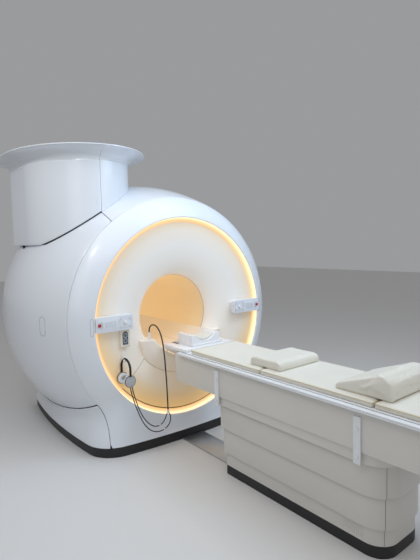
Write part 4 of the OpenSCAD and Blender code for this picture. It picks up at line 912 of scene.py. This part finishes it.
tube = [(BORE, near), (BORE, far), (BORE + 0.008, far), (BORE + 0.008, near), (BORE, near)]
turned("bore_wall", "tube_white", tube, ["bore_tube"], steps=192)
section = [(BORE + 0.001 + 0.0035 * math.cos(a), FUNNEL_DEPTH + 0.0035 * math.sin(a))
           for a in [math.radians(30 * k) for k in range(13)]]
wear(turned("bore_rim", "funnel_white", section, [], steps=192), "rim_grey")
polished("rear_funnel", "rear_mouth", "funnel_white")

# Dark lines of painted shade along the service panel's seams
edge = [funnel_point(mix(0.05, SERVICE_TURN, i / 24)) for i in range(25)]
for turn, name in ((SERVICE_FROM, "right"), (-SERVICE_FROM, "left")):
    line = [round_bore(r, math.radians(turn), d) for r, d in edge]
    bead("panel_seam_shade_" + name, line, 0.0013, "funnel_white", "seam_shade_brown", closed=False)
line = service_arc(*funnel_point(SERVICE_TURN))
bead("panel_seam_shade_top", line, 0.0013, "funnel_white", "seam_shade_brown", closed=False)

# ---- Controls ----
def face_line(name, points, y, slot="board_white", finish="mark_grey", radius=0.0007):
    """A thin closed line on a front face, through points across and up."""
    bead(name, [(x, y, z) for x, z in points], radius, slot, finish)


def about(x, z, half_x, half_z, r, steps):
    """A rounded rectangle about a middle."""
    return stadium(x - half_x, x + half_x, z - half_z, z + half_z, r, steps)


STOP_X, JOG_X, PANEL_Z = 0.815, 0.596, 1.071
KEY_R, CORNER_KEY_R = 0.0042, 0.0072
PANEL_FACE = box_of("control_panel_left")[0][1]
for side, name in ((-1, "left"), (1, "right")):
    turns = [math.radians(a) for a in (-50, -15, 20, 55)]
    keys = [(STOP_X - 0.008 - 0.020 * math.cos(a), 0.026 * math.sin(a), KEY_R) for a in turns]
    keys += [(JOG_X + 0.038 * sx, 0.030 * sz, CORNER_KEY_R) for sx in (-1, 1) for sz in (-1, 1)]
    for k, (x, z, r) in enumerate(keys):
        face_line(f"key_{name}_{k}", about(side * x, PANEL_Z + z, r, r, r * 0.99, 6), PANEL_FACE)
    for k in range(4):
        x = side * (STOP_X - 0.058 - 0.024 * k)
        face_line(f"bar_{name}_{k}", about(x, PANEL_Z, 0.0045, 0.0205, 0.0035, 4), PANEL_FACE)
    frame_loop = about(side * JOG_X, PANEL_Z, 0.050, 0.042, 0.012, 6)
    face_line(f"jog_frame_{name}", frame_loop, PANEL_FACE + 0.0015)

# The right panel is the left one in a mirror
board = polished("control_panel_left", "board_left", "board_white", soften=0.0012)
board = new_piece("board_right", board.data.copy())
for vertex in board.data.vertices:
    vertex.co.x = -vertex.co.x
edit(board, bpy.ops.mesh.flip_normals)
finish_piece(board, "board_right", "board_white", stands_for=["control_panel_right"], smooth=30)
for side in ("left", "right"):
    cap = polished(f"stop_{side}", f"stop_cap_{side}", "stop_red", body=f"stop_{side}", soften=0.001)
    # The stem ends 0.6 mm short of the model's, deep in its well
    stem_end = max(vertex.co.y for vertex in cap.data.vertices)
    for vertex in cap.data.vertices:
        if vertex.co.y > stem_end - 0.0003:
            vertex.co.y = stem_end - 0.0006
    polished(f"jog_{side}", f"jog_knob_{side}", "knob_white", body=f"jog_{side}", soften=0.001)
polished("display_box", "display_case", "display_cream", soften=0.002)
polished("display_window", "display_glass", "display_grey", soften=0.0008)
low, high = box_of("display_window")
middle, width = (low[0] + high[0]) / 2, high[0] - low[0]
for k, share in enumerate((0.30, 0.70)):
    half_z = 0.16 * (high[2] - low[2])
    oval = about(middle, mix(low[2], high[2], share), 0.28 * width, half_z, 0.27 * width, 6)
    face_line(f"display_oval_{k}", oval, low[1], "display_grey", "hook_white", 0.0012)
polished("headset_hook", "hook", "hook_white", soften=0.001)
polished("headset_band", "band", "band_black", soften=0.001)
polished("headset_cups", "cups", "cup_grey", soften=0.002)
SET_X, SET_Y, CUP_Z = -0.620, FRONT - 0.043, 0.625
CUSHION_AT, CUP_FACE, CUP_R = 0.0440, 0.0665, 0.0438
for side, name in ((-1, "front"), (1, "rear")):
    bpy.ops.mesh.primitive_torus_add(
        major_radius=0.029, minor_radius=0.0122, major_segments=48, minor_segments=20,
        location=(SET_X, SET_Y + side * CUSHION_AT, CUP_Z), rotation=(math.pi / 2, 0, 0))
    ring = finish_piece(bpy.context.object, "ear_cushion_" + name, "cup_grey", smooth=180)
    wear(ring, "ear_pad")
    rim = [(SET_X + x, SET_Y + side * CUP_FACE, CUP_Z + z) for x, z in circle(CUP_R, 36)]
    bead("cup_rim_" + name, rim, 0.0032, "cup_grey", "band_black")

# Padding over the band's top and down its front
BAND_R, BAND_Z = 0.075, 0.715
turns = [math.radians(a) for a in range(70, 181, 5)]
arc = [(SET_X, SET_Y + BAND_R * math.cos(a), BAND_Z + BAND_R * math.sin(a)) for a in turns]
arc += [(SET_X, SET_Y - BAND_R, BAND_Z - 0.009 * k) for k in range(1, 6)]
bead("band_cushion", arc, 0.0062, "band_black", closed=False)

# ---- Table ----
polished("floor_duct", "duct_plate", "duct_metal", soften=0.001)
polished("table_plinth", "plinth", "skirt_black", soften=0.002)
polished("table_panel_base", "column_base", "panel_grey", soften=0.0012)
polished("table_panel_low", "column_low", "panel_grey", body="panel_low", soften=0.0012)
polished("table_panel_mid", "column_mid", "panel_grey", body="panel_mid", soften=0.0012)

# Upright seams at the column's foot corners
COLUMN_HALF, COLUMN_FOOT, FOOT_CORNER, PANEL_STEP = 0.200, -2.830, 0.120, 0.014
SEAM_TURN = math.radians(230)
for k, (tier, body) in enumerate((("base", "magnet"), ("low", "panel_low"), ("mid", "panel_mid"))):
    low, high = box_of("table_panel_" + tier)
    reach = FOOT_CORNER + PANEL_STEP * k
    y = COLUMN_FOOT + FOOT_CORNER + reach * math.sin(SEAM_TURN)
    for side, name in ((-1, "left"), (1, "right")):
        x = side * (COLUMN_HALF - FOOT_CORNER - reach * math.cos(SEAM_TURN))
        line = [(x, y, mix(low[2] + 0.002, high[2] - 0.002, i / 4)) for i in range(5)]
        bead(f"column_seam_{tier}_{name}", line, 0.0014, "panel_grey", "frame_grey", body, False)
polished("carrier_shell", "carrier_beam", "carrier_grey", body="carrier", soften=0.003)
polished("side_rails", "rails", "rail_white", body="carrier", soften=0.001)
polished("rail_brackets", "brackets", "rail_white", body="carrier", soften=0.002)

# Lines round the caps on the brackets
CAP_R, BRACKET_FACE = 0.011, 0.272
places = [(side, y, z) for side in (-1, 1) for y in (-1.574, -2.710) for z in (0.559, 0.709)]
for k, (side, y, z) in enumerate(places):
    ring = [(side * (BRACKET_FACE + 0.0004), y + across, z + up) for across, up in circle(CAP_R, 24)]
    bead(f"cap_line_{k}", ring, 0.0009, "rail_white", "mark_grey", "carrier")
polished("tabletop", "board", "board_gloss", body="tabletop", soften=0.002)
polished("head_support", "coil_cradle", "coil_base", body="tabletop", soften=0.004)
slot = block((-0.166, -0.940, 0.8425), (-0.146, -0.862, 0.8450), 0.0008)
wear(finish_piece(slot, "tray_slot", "board_gloss", "tabletop"), "skirt_black")

# ---- Cushions ----
def closed_prism(name, outline, low, high, bevel):
    """A closed form with an outline in Y and Z drawn across X, its long edges rounded."""
    bpy.ops.mesh.primitive_plane_add(size=1)
    piece = bpy.context.object
    piece.name = name
    edit(piece, lambda: bpy.ops.mesh.delete(type="VERT"))
    piece.data.from_pydata([(low, y, z) for y, z in outline], [], [range(len(outline))])
    edit(piece,
         lambda: bpy.ops.mesh.extrude_region_move(TRANSFORM_OT_translate={"value": (high - low, 0, 0)}),
         lambda: bpy.ops.mesh.select_all(action="SELECT"),
         face_out,
         lambda: bpy.ops.mesh.bevel(offset=bevel, segments=3))
    return piece


CLOTH_FRAMES = 20


def stuff(piece, voxel, cap, ground):
    """Fills a closed form like a sewn cushion: cloth blown up a little, then laid on its ground."""
    step = piece.modifiers.new("even mesh", "REMESH")
    step.mode, step.voxel_size = "VOXEL", voxel
    apply_steps(piece)
    start = [v.co.copy() for v in piece.data.vertices]
    step = piece.modifiers.new("filling", "CLOTH")
    step.settings.use_pressure = True
    step.settings.uniform_pressure_force = 4
    step.settings.effector_weights.gravity = 0
    step.point_cache.frame_end = CLOTH_FRAMES
    for frame_number in range(1, CLOTH_FRAMES + 1):
        bpy.context.scene.frame_set(frame_number)
    apply_steps(piece)
    bpy.context.scene.frame_set(1)
    for vertex, place in zip(piece.data.vertices, start):
        move = vertex.co - place
        if move.length > cap:
            vertex.co = place + move * (cap / move.length)
        vertex.co.z = max(vertex.co.z, ground)
    step = piece.modifiers.new("finer", "SUBSURF")
    step.levels = step.render_levels = 1
    apply_steps(piece)
    return piece


def cushion(name, outline, half, voxel, cap, ground, stands_for=()):
    """A sewn cushion on the tabletop with an outline in Y and Z."""
    made = stuff(closed_prism(name, outline, -half, half, 0.008), voxel, cap, ground)
    finish_piece(made, name, "pad_cream", "tabletop", stands_for, 60)


PAD_LOW, PAD_TOP, PAD_HALF, PAD_GAP = 0.8223, 0.8573, 0.237, 0.002
PAD_JOINS = (-1.218, -1.968, -2.778, min(v.co.y for v in nodes["mattress"].data.vertices))
for k, name in enumerate(("mattress_head", "mattress_middle", "mattress_foot")):
    end, start, top = PAD_JOINS[k] - PAD_GAP, PAD_JOINS[k + 1] + PAD_GAP, PAD_TOP - 0.003
    outline = [(start, PAD_LOW), (end, PAD_LOW), (end, top), (start, top)]
    half = PAD_HALF - PAD_GAP
    cushion(name, outline, half, 0.0075, 0.004, PAD_LOW, ["mattress"] if k == 1 else [])
    seam = [(x, y, PAD_TOP - 0.009) for x, y in stadium(-half, half, start + 0.001, end - 0.001, 0.012, 6)]
    bead(name + "_bead", seam, 0.0018, "pad_cream", "pad_seam", "tabletop")

# Outlines of the leg cushions: distance along the table and height above the mattress
LEGS_LOW, LEGS_HALF = PAD_TOP + 0.0005, 0.196
KNEE_FOOT, CALF_HEAD = -2.118, -2.508
KNEE_FORM = [(0, 0), (0.280, 0), (0.280, 0.030), (0.268, 0.050), (0.240, 0.056), (0.040, 0.056),
             (0.012, 0.050), (0, 0.030)]
CALF_FORM = [(-0.350, 0), (-0.010, 0), (-0.002, 0.014), (-0.022, 0.034), (-0.268, 0.124),
             (-0.300, 0.126), (-0.332, 0.098), (-0.356, 0.020)]
for name, start, form, fill, stands_for in (("knee_cushion", KNEE_FOOT, KNEE_FORM, 0.7, ["leg_cushions"]),
                                            ("calf_wedge", CALF_HEAD, CALF_FORM, 0.8, [])):
    outline = [(start + y, LEGS_LOW + z) for y, z in form]
    cushion(name, outline, LEGS_HALF, 0.006, 0.006, LEGS_LOW, stands_for)

# The head pad lies in the cradle's hollow: drawn across, then turned to run along the table
HOLLOW_R, HOLLOW_Z, PAD_R, PAD_Z = 0.1283, 1.009, 0.1215, 1.019
arcs = [(r * math.sin(math.radians(a)), z - r * math.cos(math.radians(a)))
        for r, z, turns in ((HOLLOW_R, HOLLOW_Z, range(-44, 45, 4)), (PAD_R, PAD_Z, range(42, -43, -4)))
        for a in turns]
pad = stuff(closed_prism("head_cushion", arcs, -1.096, -0.940, 0.002), 0.004, 0.0015, 0.5)
for vertex in pad.data.vertices:
    vertex.co = (vertex.co.y, vertex.co.x, vertex.co.z)
edit(pad, face_out)
finish_piece(pad, "head_cushion", "pad_cream", "tabletop", ["head_pad"], 60)
